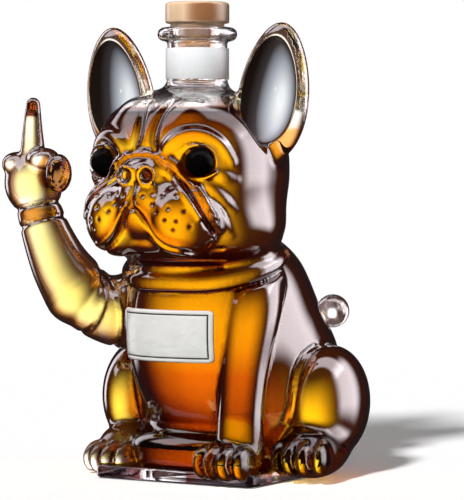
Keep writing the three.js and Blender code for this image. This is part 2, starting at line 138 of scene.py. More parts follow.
MOUTH = ((0, 129.4, 1.2), (4, 127.4, 1.3), (7.5, 122.6, 1.4), (10.6, 117.8, 1.5), (14.4, 114, 1.5),
         (20, 111.2, 1.5), (27, 109.6, 1.5), (39, 108.6, 1.4), (55, 110.4, 1.0))
LIP = ((0, 131.8, 0.9), (4.6, 129.8, 1.1), (9, 125, 1.2), (12.4, 119.8, 1.2), (16.2, 116.2, 1.2),
       (21.4, 113.6, 1.2), (28, 112.2, 1.1), (40, 111.2, 0.5))
JAW_LINES = (105.2, 101.6)
ROPE_LINES = (1.3, -1.3)
PHILTRUM = ((0, 141, 0.9), (0, 136, 1.4), (0, 130, 1.4))
WHISKER_DIMPLES = ((6, 134.9), (11.1, 136), (17.2, 134.9), (24.5, 135), (11.5, 131.3), (14.4, 127.8), (21, 129.3),
                   (28.8, 128.2), (19.3, 124.1), (25.1, 123.6), (23.6, 119.6), (31.7, 121))

# Painted shade round each whisker dimple: gone at the reach and fading in over the fade, in millimetres.
DIMPLE_SHADE_REACH = 1.9
DIMPLE_SHADE_FADE = 0.8

EYE_CENTRE = (26.3, -56.2, 150.5)
EYE_RADIUS = 6.8
EYE_GAP = 0.25
EYE_HEADING = 14.0
LID_REACH = (9.6, 7.7)
LID_DROOP = 1.6
LID_THICKNESS = 0.9

EAR_CENTRE = (43.2, -18.5, 182.8)
EAR_RADII = (18.5, 8.5, 33)
EAR_LEAN = 9.0
EAR_TAPER = 0.16
EAR_CUP_OFFSET = (0.3, -9.0, 2.0)
EAR_CUP_RADII = (16.2, 10.4, 27.5)

# Where the glass takes up the whisky's colour, as a place or height and the length over which it fades.
AMBER_AT_HOLLOW = 1.35
AMBER_DEPTH = 14.0
FOOT_AMBER = (34.0, 8.0)
TAIL_CLEARANCE = 1
ARM_AMBER_SIDE = (45, 6)
ARM_AMBER_LEAN = (0.6, 120)
FILL_FADE = 1.5
# A painted dark line along the whisky's surface: its reach either side of the fill height, and how near the hollow the
# glass must lie to take it.
FILL_LINE = 2.0
FILL_LINE_DEPTH = 6
EAR_WARMTH = 0.6
EAR_WARM_SIDE = (24, 3)
EAR_WARM_HEIGHT = 150

# Where the glass is less shiny.
PAW_POLISH = 0.25
PAW_POLISH_REACH = (10, 1.6)
# The least share of painted red shade left on the paws.
PAW_RED_SHADE_LEAST = 0.2
BELLY_FOOT = (24, 8)
BELLY_POLISH = 0.3
BELLY_MIDDLE = -4
BELLY_HALF = 40
FOREHEAD_MATT = 0.75
FOREHEAD_HEIGHT = (160, 5)
FOREHEAD_FRONT = (-22, 6)

# Where painted shade turns the amber deep red, again as places with the lengths over which they fade.
CHEST_RED_SHADE = (74, 46)
CHEST_RED_SHADE_SIDE = (48, 8)
JAW_RED_SHADE_TOP = (112, 4)
JAW_RED_SHADE_FOOT = (96, 3)
JAW_RED_SHADE_SLOPE = 1.6
ARM_SIDE = -64
WRIST_FADE = 1.5
FINGERTIP_RED_SHADE = (171, 4)
THUMB_RED_SHADE = (12, 1)
FOLD_RED_SHADE = (2, 2.4)
EAR_ROOT_TOP = (172, 8)
EAR_ROOT_FOOT = (144, 4)
EAR_ROOT_SIDE = (38, 3)
CROWN_FOOT = (157, 12)
CROWN_TOP = (177, 2)
CROWN_SIDE = (46, 3)
RED_SHADE_SHARES = {"wrist": 0.7, "fingertip": 0.8, "thumb": 0.5, "fold": 0.4, "ear_root": 0.6, "crown": 0.7}

# Painted shade: glass that nearby glass shuts in, looked for at these reaches in millimetres, is darkened.
SHELTER_REACHES = (4.0, 10.0)
SHELTER_FREE = 0.75
HOLLOW_FLOOR = 7.0
HOLLOW_REACH = 3.0
ARM_HOLLOW = 0.5
ARM_REACH = 26.0

NECK_AXIS = (0, -17)
NECK_RADIUS = 14.25
NECK_BORE = 9.5
NECK_FOOT = 176.0
LIP_TOP = 214.2
LIP_HEIGHT = 6.4
LIP_RADIUS = 19.0


class DecanterSettings(bpy.types.PropertyGroup):
    """Sizes and colours of the glass, the whisky and the small pieces."""
    cell: FloatProperty(name="Sculpt Cell", description="Cell size of the block the glass is sculpted in",
                        default=0.75 * MM, unit="LENGTH")
    wall: FloatProperty(name="Glass Wall", description="Thickness of the glass wall", default=2.4 * MM, unit="LENGTH")
    fill: FloatProperty(name="Fill Height", description="Height of the whisky's surface above the table",
                        default=174 * MM, unit="LENGTH")
    whisky_tint: FloatVectorProperty(name="Whisky Tint", description="Colour that the whisky lets through",
                                     subtype="COLOR", size=4, default=(0.975, 0.868, 0.16, 1))
    whisky_strength: FloatProperty(name="Whisky Strength", description="How strongly the whisky absorbs, per metre",
                                   default=94.0)
    glass_tint: FloatVectorProperty(name="Glass Tint", description="Colour of the glass that lies against the whisky",
                                    subtype="COLOR", size=4, default=(0.99, 0.92, 0.62, 1))
    # Painted shade: the colours the glass darkens to where it is seen at a slant and along its edges.
    slant_tint: FloatVectorProperty(name="Slant Tint", description="Colour of whisky-coloured glass seen at a slant",
                                    subtype="COLOR", size=4, default=(0.5, 0.13, 0.015, 1))
    slant_shade: FloatVectorProperty(name="Slant Shade", description="Colour of clear glass seen at a slant",
                                     subtype="COLOR", size=4, default=(0.7, 0.7, 0.72, 1))
    edge_tint: FloatVectorProperty(name="Edge Tint", description="Colour of whisky-coloured glass seen along its edge",
                                   subtype="COLOR", size=4, default=(0.05, 0.0025, 0.0003, 1))
    edge_shade: FloatVectorProperty(name="Edge Shade", description="Colour of clear glass seen along its edge",
                                    subtype="COLOR", size=4, default=(0.16, 0.16, 0.18, 1))
    # Painted shade: the deep red that darkens the glass low on the chest, under the jaw, on the crown, in the folds
    # and on the hand.
    red_shade_tint: FloatVectorProperty(name="Ember Tint", description="Colour of the glass over the deepest whisky",
                                    subtype="COLOR", size=4, default=(0.12, 0.008, 0.002, 1))
    # Painted shade: the near-black red laid into creases, shut-in hollows and whisker dimples, and into the base
    # plate's painted bands.
    crease_shade_tint: FloatVectorProperty(name="Crease Tint", description="Colour of the glass in its creases",
                                     subtype="COLOR", size=4, default=(0.02, 0.0008, 0.0003, 1))
    wood: FloatVectorProperty(name="Cap Wood", description="Main colour of the cap's wood", subtype="COLOR", size=4,
                              default=(0.92, 0.64, 0.41, 1))
    cork: FloatVectorProperty(name="Cork", description="Main colour of the cork", subtype="COLOR", size=4,
                              default=(0.85, 0.42, 0.16, 1))
    paper: FloatVectorProperty(name="Band Paper", description="Colour of the neck band", subtype="COLOR", size=4,
                               default=(0.72, 0.735, 0.75, 1))
    pewter: FloatVectorProperty(name="Label Pewter", description="Colour of the label plate", subtype="COLOR", size=4,
                                default=(0.82, 0.82, 0.79, 1))


class StudioSettings(bpy.types.PropertyGroup):
    """Camera and light of the studio."""
    azimuth: FloatProperty(name="Camera Azimuth", description="Side from which the camera looks",
                           default=math.radians(32), subtype="ANGLE")
    distance: FloatProperty(name="Camera Distance", description="Distance of the camera from the bottle's axis",
                            default=1.3, unit="LENGTH")
    eye_height: FloatProperty(name="Camera Height", description="Height of the camera above the table", default=0.150,
                              unit="LENGTH")


# Sculpting in a block of cells

class ClayBlock:
    """A block of cells that holds the distance to a sculpted skin, negative inside, in millimetres."""

    FAR = 1000.0

    def __init__(self, low, high, cell):
        self.low = np.array(low, np.float32)
        self.cell = cell
        self.count = np.ceil((np.array(high) - np.array(low)) / cell).astype(int) + 1
        self.distance = np.full(self.count, self.FAR, np.float32)
        self.axes = [self.low[i] + cell * np.arange(self.count[i], dtype=np.float32) for i in range(3)]

    def window(self, low, high):
        first = np.clip(np.floor((np.array(low) - self.low) / self.cell).astype(int), 0, self.count)
        last = np.clip(np.ceil((np.array(high) - self.low) / self.cell).astype(int) + 1, 0, self.count)
        return tuple(slice(first[i], last[i]) for i in range(3))

    def field_of(self, form, margin):
        """The form's own distance in the smallest window that holds all of its parts."""
        low = np.min([part[0] for part in form], axis=0) - margin
        high = np.max([part[1] for part in form], axis=0) + margin
        outer = self.window(low, high)
        field = np.full([s.stop - s.start for s in outer], self.FAR, np.float32)
        for part_low, part_high, measure in form:
            inner = self.window(part_low - margin, part_high + margin)
            places = np.meshgrid(*(self.axes[i][inner[i]] for i in range(3)), indexing="ij", sparse=True)
            local = tuple(slice(inner[i].start - outer[i].start, inner[i].stop - outer[i].start) for i in range(3))
            field[local] = np.minimum(field[local], measure(*places))
        return outer, field

    def add(self, form, blend, margin=3):
        space, field = self.field_of(form, max(blend, margin) + 4 * self.cell)
        self.distance[space] = soft_minimum(self.distance[space], field, blend)

    def carve(self, form, blend):
        space, field = self.field_of(form, blend + 3 * self.cell)
        self.distance[space] = -soft_minimum(-self.distance[space], field, blend)

    def sample(self, points):
        """Distances at points, from the eight cells round each."""
        place = (np.asarray(points, np.float32) - self.low) / self.cell
        corner = np.clip(np.floor(place).astype(int), 0, self.count - 2)
        share = np.clip(place - corner, 0, 1)
        total = np.zeros(len(place), np.float32)
        for dx in (0, 1):
            for dy in (0, 1):
                for dz in (0, 1):
                    weight = np.ones(len(place), np.float32)
                    for axis, step in enumerate((dx, dy, dz)):
                        weight = weight * (share[:, axis] if step else 1 - share[:, axis])
                    total += weight * self.distance[corner[:, 0] + dx, corner[:, 1] + dy, corner[:, 2] + dz]
        return total

    def along_line(self, start, direction, length, step=0.25):
        travel = np.arange(0, length, step)
        points = np.array(start)[None, :] + travel[:, None] * np.array(direction)[None, :]
        return points, self.sample(points)

    def way_out(self, start, direction, length):
        """Where a straight line from a start inside first leaves the form, or None."""
        points, depth = self.along_line(start, direction, length)
        outside = np.nonzero(depth > 0)[0]
        return points[outside[0]] if len(outside) else None

    def first_skin(self, start, direction, length):
        """Where a straight line from start first meets the skin."""
        points, depth = self.along_line(start, direction, length)
        inside = np.nonzero(depth < 0)[0]
        if len(inside) == 0:
            raise RuntimeError("no skin in front of %s" % (tuple(start),))
        return points[inside[0]]


def soft_minimum(a, b, blend):
    if blend <= 0:
        return np.minimum(a, b)
    overlap = np.clip(blend - np.abs(a - b), 0, None) / blend
    return np.minimum(a, b) - overlap * overlap * blend * 0.25


def turning(turn):
    a, b, c = np.radians(turn)
    about_x = np.array([[1, 0, 0], [0, np.cos(a), -np.sin(a)], [0, np.sin(a), np.cos(a)]])
    about_y = np.array([[np.cos(b), 0, np.sin(b)], [0, 1, 0], [-np.sin(b), 0, np.cos(b)]])
    about_z = np.array([[np.cos(c), -np.sin(c), 0], [np.sin(c), np.cos(c), 0], [0, 0, 1]])
    return about_z @ about_y @ about_x


def swelling(centre, radii, turn=(0, 0, 0), power=2.0, taper=0.0):
    """An ellipsoid, squarer where power is above 2, and narrower towards its top by the taper."""
    centre = np.array(centre, float)
    radii = np.array(radii, float)
    matrix = turning(turn)
    reach = np.abs(matrix) @ (radii * (1 + taper, 1, 1))
    back = matrix.T

    def measure(x, y, z):
        local = [back[i, 0] * (x - centre[0]) + back[i, 1] * (y - centre[1]) + back[i, 2] * (z - centre[2])
                 for i in range(3)]
        if taper:
            local[0] = local[0] / (1 - taper * np.clip(local[2] / radii[2], -1.3, 1.3))
        if power == 2.0:
            size = np.sqrt(sum((local[i] / radii[i]) ** 2 for i in range(3)))
            slope = np.sqrt(sum((local[i] / radii[i] ** 2) ** 2 for i in range(3)))
            return (size * (size - 1) / np.maximum(slope, 1e-6)).astype(np.float32)
        size = sum(np.abs(local[i] / radii[i]) ** power for i in range(3)) ** (1 / power)
        slope = np.sqrt(sum((np.abs(local[i] / radii[i]) ** (power - 1) / radii[i]) ** 2 for i in range(3)))
        return ((size - 1) / np.maximum(slope / np.maximum(size, 1e-6) ** (power - 1), 1e-6)).astype(np.float32)

    return [(centre - reach, centre + reach, measure)]


def tapered(start, end, start_radius, end_radius):
    start = np.array(start, float)
    along = np.array(end, float) - start
    length_squared = along @ along

    def measure(x, y, z):
        share = np.clip(((x - start[0]) * along[0] + (y - start[1]) * along[1] + (z - start[2]) * along[2])
                        / length_squared, 0, 1)
        gap = [v - start[i] - share * along[i] for i, v in enumerate((x, y, z))]
        radius = start_radius + (end_radius - start_radius) * share
        return (np.sqrt(sum(g * g for g in gap)) - radius).astype(np.float32)

    widest = max(start_radius, end_radius)
    return np.minimum(start, start + along) - widest, np.maximum(start, start + along) + widest, measure


def smooth_rows(rows, steps):
    """Rows along a smooth curve through the given ones."""
    rows = np.array(rows, float)
    rows = np.vstack([2 * rows[0] - rows[1], rows, 2 * rows[-1] - rows[-2]])
    out = []
    for i in range(1, len(rows) - 2):
        before, here, there, after = rows[i - 1:i + 3]
        for t in np.linspace(0, 1, steps, endpoint=False):
            out.append(0.5 * (2 * here + (there - before) * t + (2 * before - 5 * here + 4 * there - after) * t ** 2
                              + (3 * here - before - 3 * there + after) * t ** 3))
    out.append(rows[-2])
    return np.array(out)


def limb(rows, steps=6):
    """A smooth tapering tube through rows of (x, y, z, radius)."""
    line = smooth_rows(rows, steps)
    return [tapered(a[:3], b[:3], a[3], b[3]) for a, b in zip(line[:-1], line[1:])]


def upright(axis, bottom, top, radius, edge):
    """An upright round column with softened edges."""
    middle = (bottom + top) / 2
    half = (top - bottom) / 2

    def measure(x, y, z):
        out = np.sqrt((x - axis[0]) ** 2 + (y - axis[1]) ** 2) - radius + edge
        rise = np.abs(z - middle) - half + edge
        corner = np.sqrt(np.maximum(out, 0) ** 2 + np.maximum(rise, 0) ** 2)
        return (corner + np.minimum(np.maximum(out, rise), 0) - edge).astype(np.float32)

    low = np.array((axis[0] - radius, axis[1] - radius, bottom), float)
    high = np.array((axis[0] + radius, axis[1] + radius, top), float)
    return [(low, high, measure)]


def mirrored(point, side):
    return (point[0] * side,) + tuple(point[1:])


def from_side_to_side(rows):
    """Rows that start at the middle, carried on over both sides of the dog."""
    return [mirrored(row, -1) for row in rows[:0:-1]] + list(rows)


def on_head(block, heading, height, sink):
    """A point on the head's skin, sunk by some millimetres towards the head's axis."""
    angle = math.radians(heading)
    outward = np.array((math.sin(angle), -math.cos(angle), 0))
    axis = np.array((*HEAD_AXIS, height))
    return block.first_skin(axis + outward * 75, -outward, 70) - outward * sink


def face_limb(block, rows, side, sink):
    return [(*on_head(block, heading * side, height, sink), radius) for heading, height, radius in rows]


def sculpt_body(block):
    for centre, radii, turn, power, blend in BODY_SWELLINGS:
        block.add(swelling(centre, radii, turn, power), blend, WIDE_MARGIN)
    for centre, radii in HOCKS:
        block.add(swelling(centre, radii), 5)
    block.add(limb(FORELEG, 14), 1.6)
    block.carve(limb(from_side_to_side(NECK_CHANNEL)), 2.0)
    block.add(limb(from_side_to_side(NECK_ROLL)), 1.0)


def sculpt_haunch_fold(block):
    """Carve the fine lines of the fold between haunch and belly into the skin."""
    front = np.array(QUARTER_FRONT)
    right = np.array(QUARTER_RIGHT)
    for shift, radius in HAUNCH_FOLD_LINES:
        rows = []
        for sideways, height in HAUNCH_FOLD:
            start = right * (sideways + shift) + front * 90 + np.array((0, 0, height - HAUNCH_FOLD_SAG * shift))
            rows.append((*block.first_skin(start, -front, 120), radius))
        block.carve(limb(rows, 8), 0.8)


def sculpt_head(block):
    centre, radii, turn, power, blend = SKULL
    block.add(swelling(centre, radii, turn, power), blend, WIDE_MARGIN)
    block.add(swelling(*JAW), 10, WIDE_MARGIN)
    block.add(swelling(*MUZZLE), 5)
    for side in (1, -1):
        block.add(swelling(mirrored(JOWL[0], side), JOWL[1], (0, 0, JOWL[2][2] * side)), 2.5)
    block.add(swelling(*CHIN), 2)


def whisker_pores(block):
    return [on_head(block, heading * side, height, 0) for side in (1, -1) for heading, height in WHISKER_DIMPLES]


def sculpt_face(block):
    lines = []
    channels = []
    for side in (1, -1):
        lines.append((face_limb(block, BROW, side, 1.2), 1.8, True))
        lines.append((face_limb(block, NOSE_FOLD, side, 0.5), 0.6, True))
        channels.append([(*on_head(block, heading * side, height, FOLD_CHANNEL_DEPTH - radius - FOLD_CHANNEL),
                          radius + FOLD_CHANNEL) for heading, height, radius in NOSE_FOLD])
        lines.append((face_limb(block, INNER_FOLD, side, 0.0), 0.6, True))
        for fold in CHEEK_FOLDS:
            lines.append((face_limb(block, fold, side, 1.6), 1.8, True))
        lines.append((face_limb(block, FURROW, side, -0.2), 1.4, False))
        lines.append((face_limb(block, MOUTH, side, 0.2), 1.0, False))
        lines.append((face_limb(block, LIP, side, 0.2), 0.8, True))
    lines.append((face_limb(block, PHILTRUM, 1, 0.0), 0.8, False))
    dimples = whisker_pores(block)
    for side in (1, -1):
        block.add(swelling(mirrored(FOREHEAD[0], side), FOREHEAD[1]), 2.5)
    for rows in channels:
        block.carve(limb(rows), 1.0)
    for rows, blend, raised in lines:
        if raised:
            block.add(limb(rows), blend)
    block.add(swelling(*NOSE), 2.0)
    for rows, blend, raised in lines:
        if not raised:
            block.carve(limb(rows), blend)
    for height in JAW_LINES:
        rows = [(*on_head(block, heading, height, 0), 0.7) for heading in np.linspace(-62, 62, 25)]
        block.carve(limb(rows, 2), 0.6)
    for side in (1, -1):
        for shift in ROPE_LINES:
            rows = [(*on_head(block, heading * side, height + shift, 0.1), 0.45)
                    for heading, height, radius in NOSE_FOLD]
            block.carve(limb(rows), 0.4)
    for point in dimples:
        block.carve(swelling(point, (0.95, 0.95, 0.95)), 0.4)
    for side in (1, -1):
        nostril = mirrored(NOSTRIL[0], side)
        across, rise, thickness = NOSTRIL_RING
        ring = [(nostril[0] + across * math.cos(a), nostril[1] + 0.5, nostril[2] + rise * math.sin(a), thickness)
                for a in np.linspace(0, 2 * math.pi, 11)]
        block.add(limb(ring, 2), 0.8)
        block.carve(swelling(nostril, NOSTRIL[1]), 0.8)


def eye_frame(side):
    """Centre of an eye, the way it looks, and its sideways direction away from the nose."""
    angle = math.radians(EYE_HEADING)
    look = np.array((math.sin(angle) * side, -math.cos(angle), 0))
    sideways = np.array((math.cos(angle) * side, math.sin(angle), 0))
    return np.array(mirrored(EYE_CENTRE, side)), look, sideways


def sculpt_eyes(block):
    for side in (1, -1):
        centre, look, sideways = eye_frame(side)
        block.carve(swelling(centre + look * 6, (9, 9, 9)), 2)
        lid = []
        for a in np.linspace(0, 2 * math.pi, 25):
            across = LID_REACH[0] * math.cos(a)
            rise = LID_REACH[1] * math.sin(a) - LID_DROOP * math.cos(a) ** 4
            depth = 2.6 - 0.012 * across ** 2 - 0.05 * across
            lid.append((*(centre + look * depth + sideways * across + np.array((0, 0, rise))),
                        LID_THICKNESS - 0.5 * math.cos(a) ** 4))
        block.add(limb(lid, 2), 1.2)
        block.carve(swelling(centre, (EYE_RADIUS + EYE_GAP,) * 3), 0)


def sculpt_ears(block):
    for side in (1, -1):
        centre = np.array(mirrored(EAR_CENTRE, side))
        lean = (0, EAR_LEAN * side, 0)
        block.add(swelling(centre, EAR_RADII, lean, taper=EAR_TAPER), 4)
        block.carve(swelling(centre + mirrored(EAR_CUP_OFFSET, side), EAR_CUP_RADII, lean, taper=EAR_TAPER), 1.2)


def skin_round(block, centre, normal, radius):
    """Runs of rows along the skin where a plane through a limb cuts it, within reach of the limb's middle."""
    normal = np.array(normal) / np.linalg.norm(normal)
    first = np.cross(normal, (0, 1, 0) if abs(normal[2]) > 0.7 else (0, 0, 1))
    first = first / np.linalg.norm(first)
    second = np.cross(normal, first)
    runs = [[]]
    for a in np.linspace(0, 2 * math.pi, 49):
        skin = block.way_out(centre, first * math.cos(a) + second * math.sin(a), ARM_REACH)
        if skin is None:
            runs.append([])
        else:
            runs[-1].append((*skin, radius))
    return [run for run in runs if len(run) > 2]


def sculpt_raised_arm(block):
    block.add(limb(UPPER_ARM, 14), 3)
    block.add(limb(FOREARM, 14), 1.2)
    block.add(swelling(*FIST), 3)
    grooves = [run for groove in ARM_GROOVES for run in skin_round(block, *groove)]
    for run in grooves:
        block.carve(limb(run, 2), 0.9)
    block.add(limb(FINGER), 2)
    for centre, radii in FIST_KNUCKLES:
        block.add(swelling(centre, radii), 2)
    block.add(swelling(*THUMB), 1.5)
    curl_axis = np.array(THUMB_CURL_AXIS)
    for step in THUMB_CURLS:
        for run in skin_round(block, np.array(THUMB[0]) + curl_axis * step, curl_axis, 0.5):
            block.carve(limb(run, 1), 0.4)


def sculpt_paws(block):
    for centre, turn in PAWS:
        centre = np.array(centre, float)
        matrix = turning((0, 0, turn))
        block.add(swelling(centre + matrix @ np.array((0, 6, 2)), (12.5, 15, 10), (0, 0, turn)), 2)
        for i in range(TOES):
            out = i - (TOES - 1) / 2
            toe = centre + matrix @ np.array((out * TOE_STEP, -6 + 1.2 * out ** 2, 0))
            block.add(swelling(toe, (4.2, 10, 8.5), (0, 0, turn + 4 * out)), 1.0)


def sculpt_neck(block):
    block.add(upright(NECK_AXIS, NECK_FOOT, LIP_TOP, NECK_RADIUS, 1.0), 6)
    block.add(upright(NECK_AXIS, LIP_TOP - LIP_HEIGHT, LIP_TOP, LIP_RADIUS, LIP_HEIGHT / 2), 1.5)


def hollow(block, outside, wall):
    """The hollow that follows the glass of the body, head and limbs one wall below its skin."""
    def grown(centre, radii, turn=(0, 0, 0), power=2.0):
        return swelling(centre, np.array(radii) + HOLLOW_REACH, turn, power)

    def grown_limb(rows):
        return limb([(x, y, z, radius + HOLLOW_REACH) for x, y, z, radius in rows], 14)

    for centre, radii, turn, power, blend in BODY_SWELLINGS:
        block.add(grown(centre, radii, turn, power), blend, WIDE_MARGIN)
    block.add(grown_limb(FORELEG[:-1] + (FORELEG_HOLLOW_END,)), 5)
    centre, radii, turn, power, blend = SKULL
    block.add(grown(centre, radii, turn, power), blend, WIDE_MARGIN)
    block.add(grown(*JAW), 8, WIDE_MARGIN)
    block.add(grown(*MUZZLE), 5)
    for side in (1, -1):
        block.add(grown(mirrored(JOWL[0], side), JOWL[1]), 3)
    for rows in (UPPER_ARM, FOREARM, FINGER):
        block.add(limb([(x, y, z, radius * ARM_HOLLOW) for x, y, z, radius in rows], 14), 7)
    block.add(swelling(FIST[0], np.array(FIST[1]) * ARM_HOLLOW), 3)
    for centre, turn in PAWS:
        block.add(swelling(np.array(centre) + (0, 2, 2), (18, 24, 14), (0, 0, turn)), 3)
    for side in (1, -1):
        block.carve(swelling(mirrored(EYE_CENTRE, side), (10, 10, 10)), 2)
        ear_room = np.array(EAR_RADII) + (2, 4, 0)
        block.carve(swelling(mirrored(EAR_CENTRE, side), ear_room, (0, EAR_LEAN * side, 0)), 4)
    heights = block.axes[2][None, None, :]
    block.distance = np.maximum(block.distance, HOLLOW_FLOOR - heights)
    block.distance = np.maximum(block.distance, outside.distance + wall).astype(np.float32)
    block.add(upright(NECK_AXIS, NECK_FOOT - 6, LIP_TOP + 6, NECK_BORE, 0.5), 3)


def stand_on_plate(block):
    """Cut the dog off where the base plate carries it, and just above the table beside the plate."""
    low, high = (np.array(corner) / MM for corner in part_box("base_plate"))
    x, y, z = np.meshgrid(*block.axes, indexing="ij", sparse=True)
    plate = np.maximum(np.abs(x - (low[0] + high[0]) / 2) - (high[0] - low[0]) / 2 + PLATE_OVERLAP,
                       np.abs(y - (low[1] + high[1]) / 2) - (high[1] - low[1]) / 2 + PLATE_OVERLAP)
    plate = np.maximum(plate, z - high[2] + PLATE_OVERLAP)
    cut = np.maximum(PAW_FOOT - z, -plate)
    block.distance = np.maximum(block.distance, cut).astype(np.float32)


BLOCK_LOW = (-110, -82, -2)
BLOCK_HIGH = (76, 76, 222)


@functools.lru_cache(maxsize=None)
def dog_forms(cell, wall):
    """The dog's outside and its hollow, each in a block of its own."""
    outside = ClayBlock(BLOCK_LOW, BLOCK_HIGH, cell)
    sculpt_body(outside)
    sculpt_head(outside)
    sculpt_face(outside)
    sculpt_eyes(outside)
    sculpt_raised_arm(outside)
    sculpt_haunch_fold(outside)
    sculpt_paws(outside)
    sculpt_ears(outside)
    outside.add(swelling(*TAIL), 1)
    sculpt_neck(outside)
    stand_on_plate(outside)
    inside = ClayBlock(BLOCK_LOW, BLOCK_HIGH, cell)
    hollow(inside, outside, wall)
    return outside, inside


def vertex_vectors(mesh, key):
    values = np.empty(len(mesh.vertices) * 3, np.float32)
    mesh.vertices.foreach_get(key, values)
    return values.reshape(-1, 3)


def mark(mesh, name, values):
    """Keep one value per vertex for the materials to read."""
    mesh.attributes.new(name, "FLOAT", "POINT").data.foreach_set("value", np.asarray(values, np.float32))


def skin_mesh(distance, block, name, smoothing):
    """A mesh of quads over the skin of a distance block, in metres."""
    grid = openvdb.FloatGrid(background=ClayBlock.FAR)
    grid.copyFromArray(distance)
    points, quads = grid.convertToQuads(isovalue=0.0)
    if len(quads) == 0:
        raise RuntimeError("nothing was sculpted for " + name)
    points = (points * block.cell + block.low) * MM
    edges = np.vstack([quads[:, [i, (i + 1) % 4]] for i in range(4)])
    count = len(points)
    neighbours = np.bincount(edges.ravel(), minlength=count)[:, None]

    def neighbour_mean(values):
        sums = [np.bincount(edges[:, 0], values[edges[:, 1], k], count)
                + np.bincount(edges[:, 1], values[edges[:, 0], k], count) for k in range(values.shape[1])]
        return np.stack(sums, 1) / neighbours

    for _ in range(smoothing):
        points = points + 0.5 * (neighbour_mean(points) - points)
    mesh = bpy.data.meshes.new(name)
    mesh.vertices.add(count)
    mesh.vertices.foreach_set("co", points.astype(np.float32).ravel())
    mesh.loops.add(len(quads) * 4)
    mesh.loops.foreach_set("vertex_index", quads.astype(np.int32).ravel())
    mesh.polygons.add(len(quads))
    mesh.polygons.foreach_set("loop_start", np.arange(0, len(quads) * 4, 4, dtype=np.int32))
    mesh.polygons.foreach_set("use_smooth", np.ones(len(quads), bool))
    mesh.update(calc_edges=True)
    # How far each point lies in a crease; the glass paints shade from it.
    crease = ((neighbour_mean(points) - points) * vertex_vectors(mesh, "normal")).sum(1)[:, None] / MM
    for _ in range(2):
        crease = neighbour_mean(crease)
    mark(mesh, "crease", crease[:, 0])
    return mesh


# Meshes by rings

def ring_mesh(name, rings, closed_ends=True):
    """A closed skin over rings of equally many points, in metres, ends capped by a fan."""
    count = len(rings[0])
    points = [tuple(p) for ring in rings for p in ring]
    faces = []
    for r in range(len(rings) - 1):
        for i in range(count):
            j = (i + 1) % count
            faces.append((r * count + i, r * count + j, (r + 1) * count + j, (r + 1) * count + i))
    if closed_ends:
        for ring_index, turn in ((0, -1), (len(rings) - 1, 1)):
            centre = np.mean(np.array(rings[ring_index]), axis=0)
            points.append(tuple(centre))
            hub = len(points) - 1
            for i in range(count):
                a = ring_index * count + i
                b = ring_index * count + (i + 1) % count
                faces.append((a, b, hub) if turn > 0 else (b, a, hub))
    mesh = bpy.data.meshes.new(name)
    mesh.from_pydata(points, [], faces)
    mesh.update()
    mesh.polygons.foreach_set("use_smooth", np.ones(len(mesh.polygons), bool))
    return mesh


def weld(mesh):
    """Joins points that lie on each other and drops the faces that vanish."""
    made = bmesh.new()
    made.from_mesh(mesh)
    bmesh.ops.remove_doubles(made, verts=made.verts, dist=0.01 * MM)
    bmesh.ops.dissolve_degenerate(made, edges=made.edges, dist=0.005 * MM)
    made.to_mesh(mesh)
    made.free()
    mesh.update()


def turned_mesh(name, profile, axis, segments=96):
    """A turned piece from (radius, height) rows in millimetres, from bottom to top, about an upright axis."""
    rings = []
    for radius, height in profile:
        rings.append([((axis[0] + radius * math.cos(a)) * MM, (axis[1] + radius * math.sin(a)) * MM, height * MM)
                      for a in np.linspace(0, 2 * math.pi, segments, endpoint=False)])
    return ring_mesh(name, rings)


def placed(name, mesh, material):
    piece = bpy.data.objects.new(name, mesh)
    mesh.materials.append(material)
    bpy.context.scene.collection.objects.link(piece)
    return piece


# Materials

def new_material(name):
    material = bpy.data.materials.new(name)
    material.use_nodes = True
    tree = material.node_tree
    return material, tree, tree.nodes["Principled BSDF"]


def set_inputs(node, **values):
    for key, value in values.items():
        node.inputs[key.replace("_", " ")].default_value = value


def node(tree, kind, **settings):
    made = tree.nodes.new(kind)
    for key, value in settings.items():
        setattr(made, key, value)
    return made


def add_math(tree, operation, *values):
    made = node(tree, "ShaderNodeMath", operation=operation)
    for i, value in enumerate(values):
        if isinstance(value, (int, float)):
            made.inputs[i].default_value = value
        else:
            tree.links.new(value, made.inputs[i])
    return made.outputs[0]


def attribute(tree, name):
    return node(tree, "ShaderNodeAttribute", attribute_name=name).outputs["Fac"]


def add_mix(tree, factor, first, second):
    mix = node(tree, "ShaderNodeMix", data_type="RGBA")
    tree.links.new(factor, mix.inputs["Factor"])
    for key, value in (("A", first), ("B", second)):
        if isinstance(value, tuple):
            mix.inputs[key].default_value = value
        else:
            tree.links.new(value, mix.inputs[key])
    return mix.outputs["Result"]


def add_fade(tree, value, start, end, first=0, last=1):
    """A smooth change from first to last while the value goes from start to end."""
    fade = node(tree, "ShaderNodeMapRange", interpolation_type="SMOOTHSTEP")
    tree.links.new(value, fade.inputs[0])
    for i, limit in enumerate((start, end, first, last)):
        fade.inputs[i + 1].default_value = limit
    return fade.outputs[0]


def add_ramp(tree, factor, *stops):
    """A colour ramp through stops of (position, colour), from the first to the last."""
    ramp = node(tree, "ShaderNodeValToRGB")
    elements = ramp.color_ramp.elements
    for element, (position, colour) in zip(elements, (stops[0], stops[-1])):
        element.position = position
        element.color = colour
    for position, colour in stops[1:-1]:
        elements.new(position).color = colour
    tree.links.new(factor, ramp.inputs["Fac"])
    return ramp.outputs["Color"]


def shaded(colour, share):
    return tuple(c * share for c in colour[:3]) + (1,)


def group_tree(name, inputs, outputs):
    tree = bpy.data.node_groups.new(name, "ShaderNodeTree")
    for label, kind, default in inputs:
        socket = tree.interface.new_socket(label, in_out="INPUT", socket_type=kind)
        socket.default_value = default
    for label, kind in outputs:
        tree.interface.new_socket(label, in_out="OUTPUT", socket_type=kind)
    return tree, tree.nodes.new("NodeGroupInput"), tree.nodes.new("NodeGroupOutput")


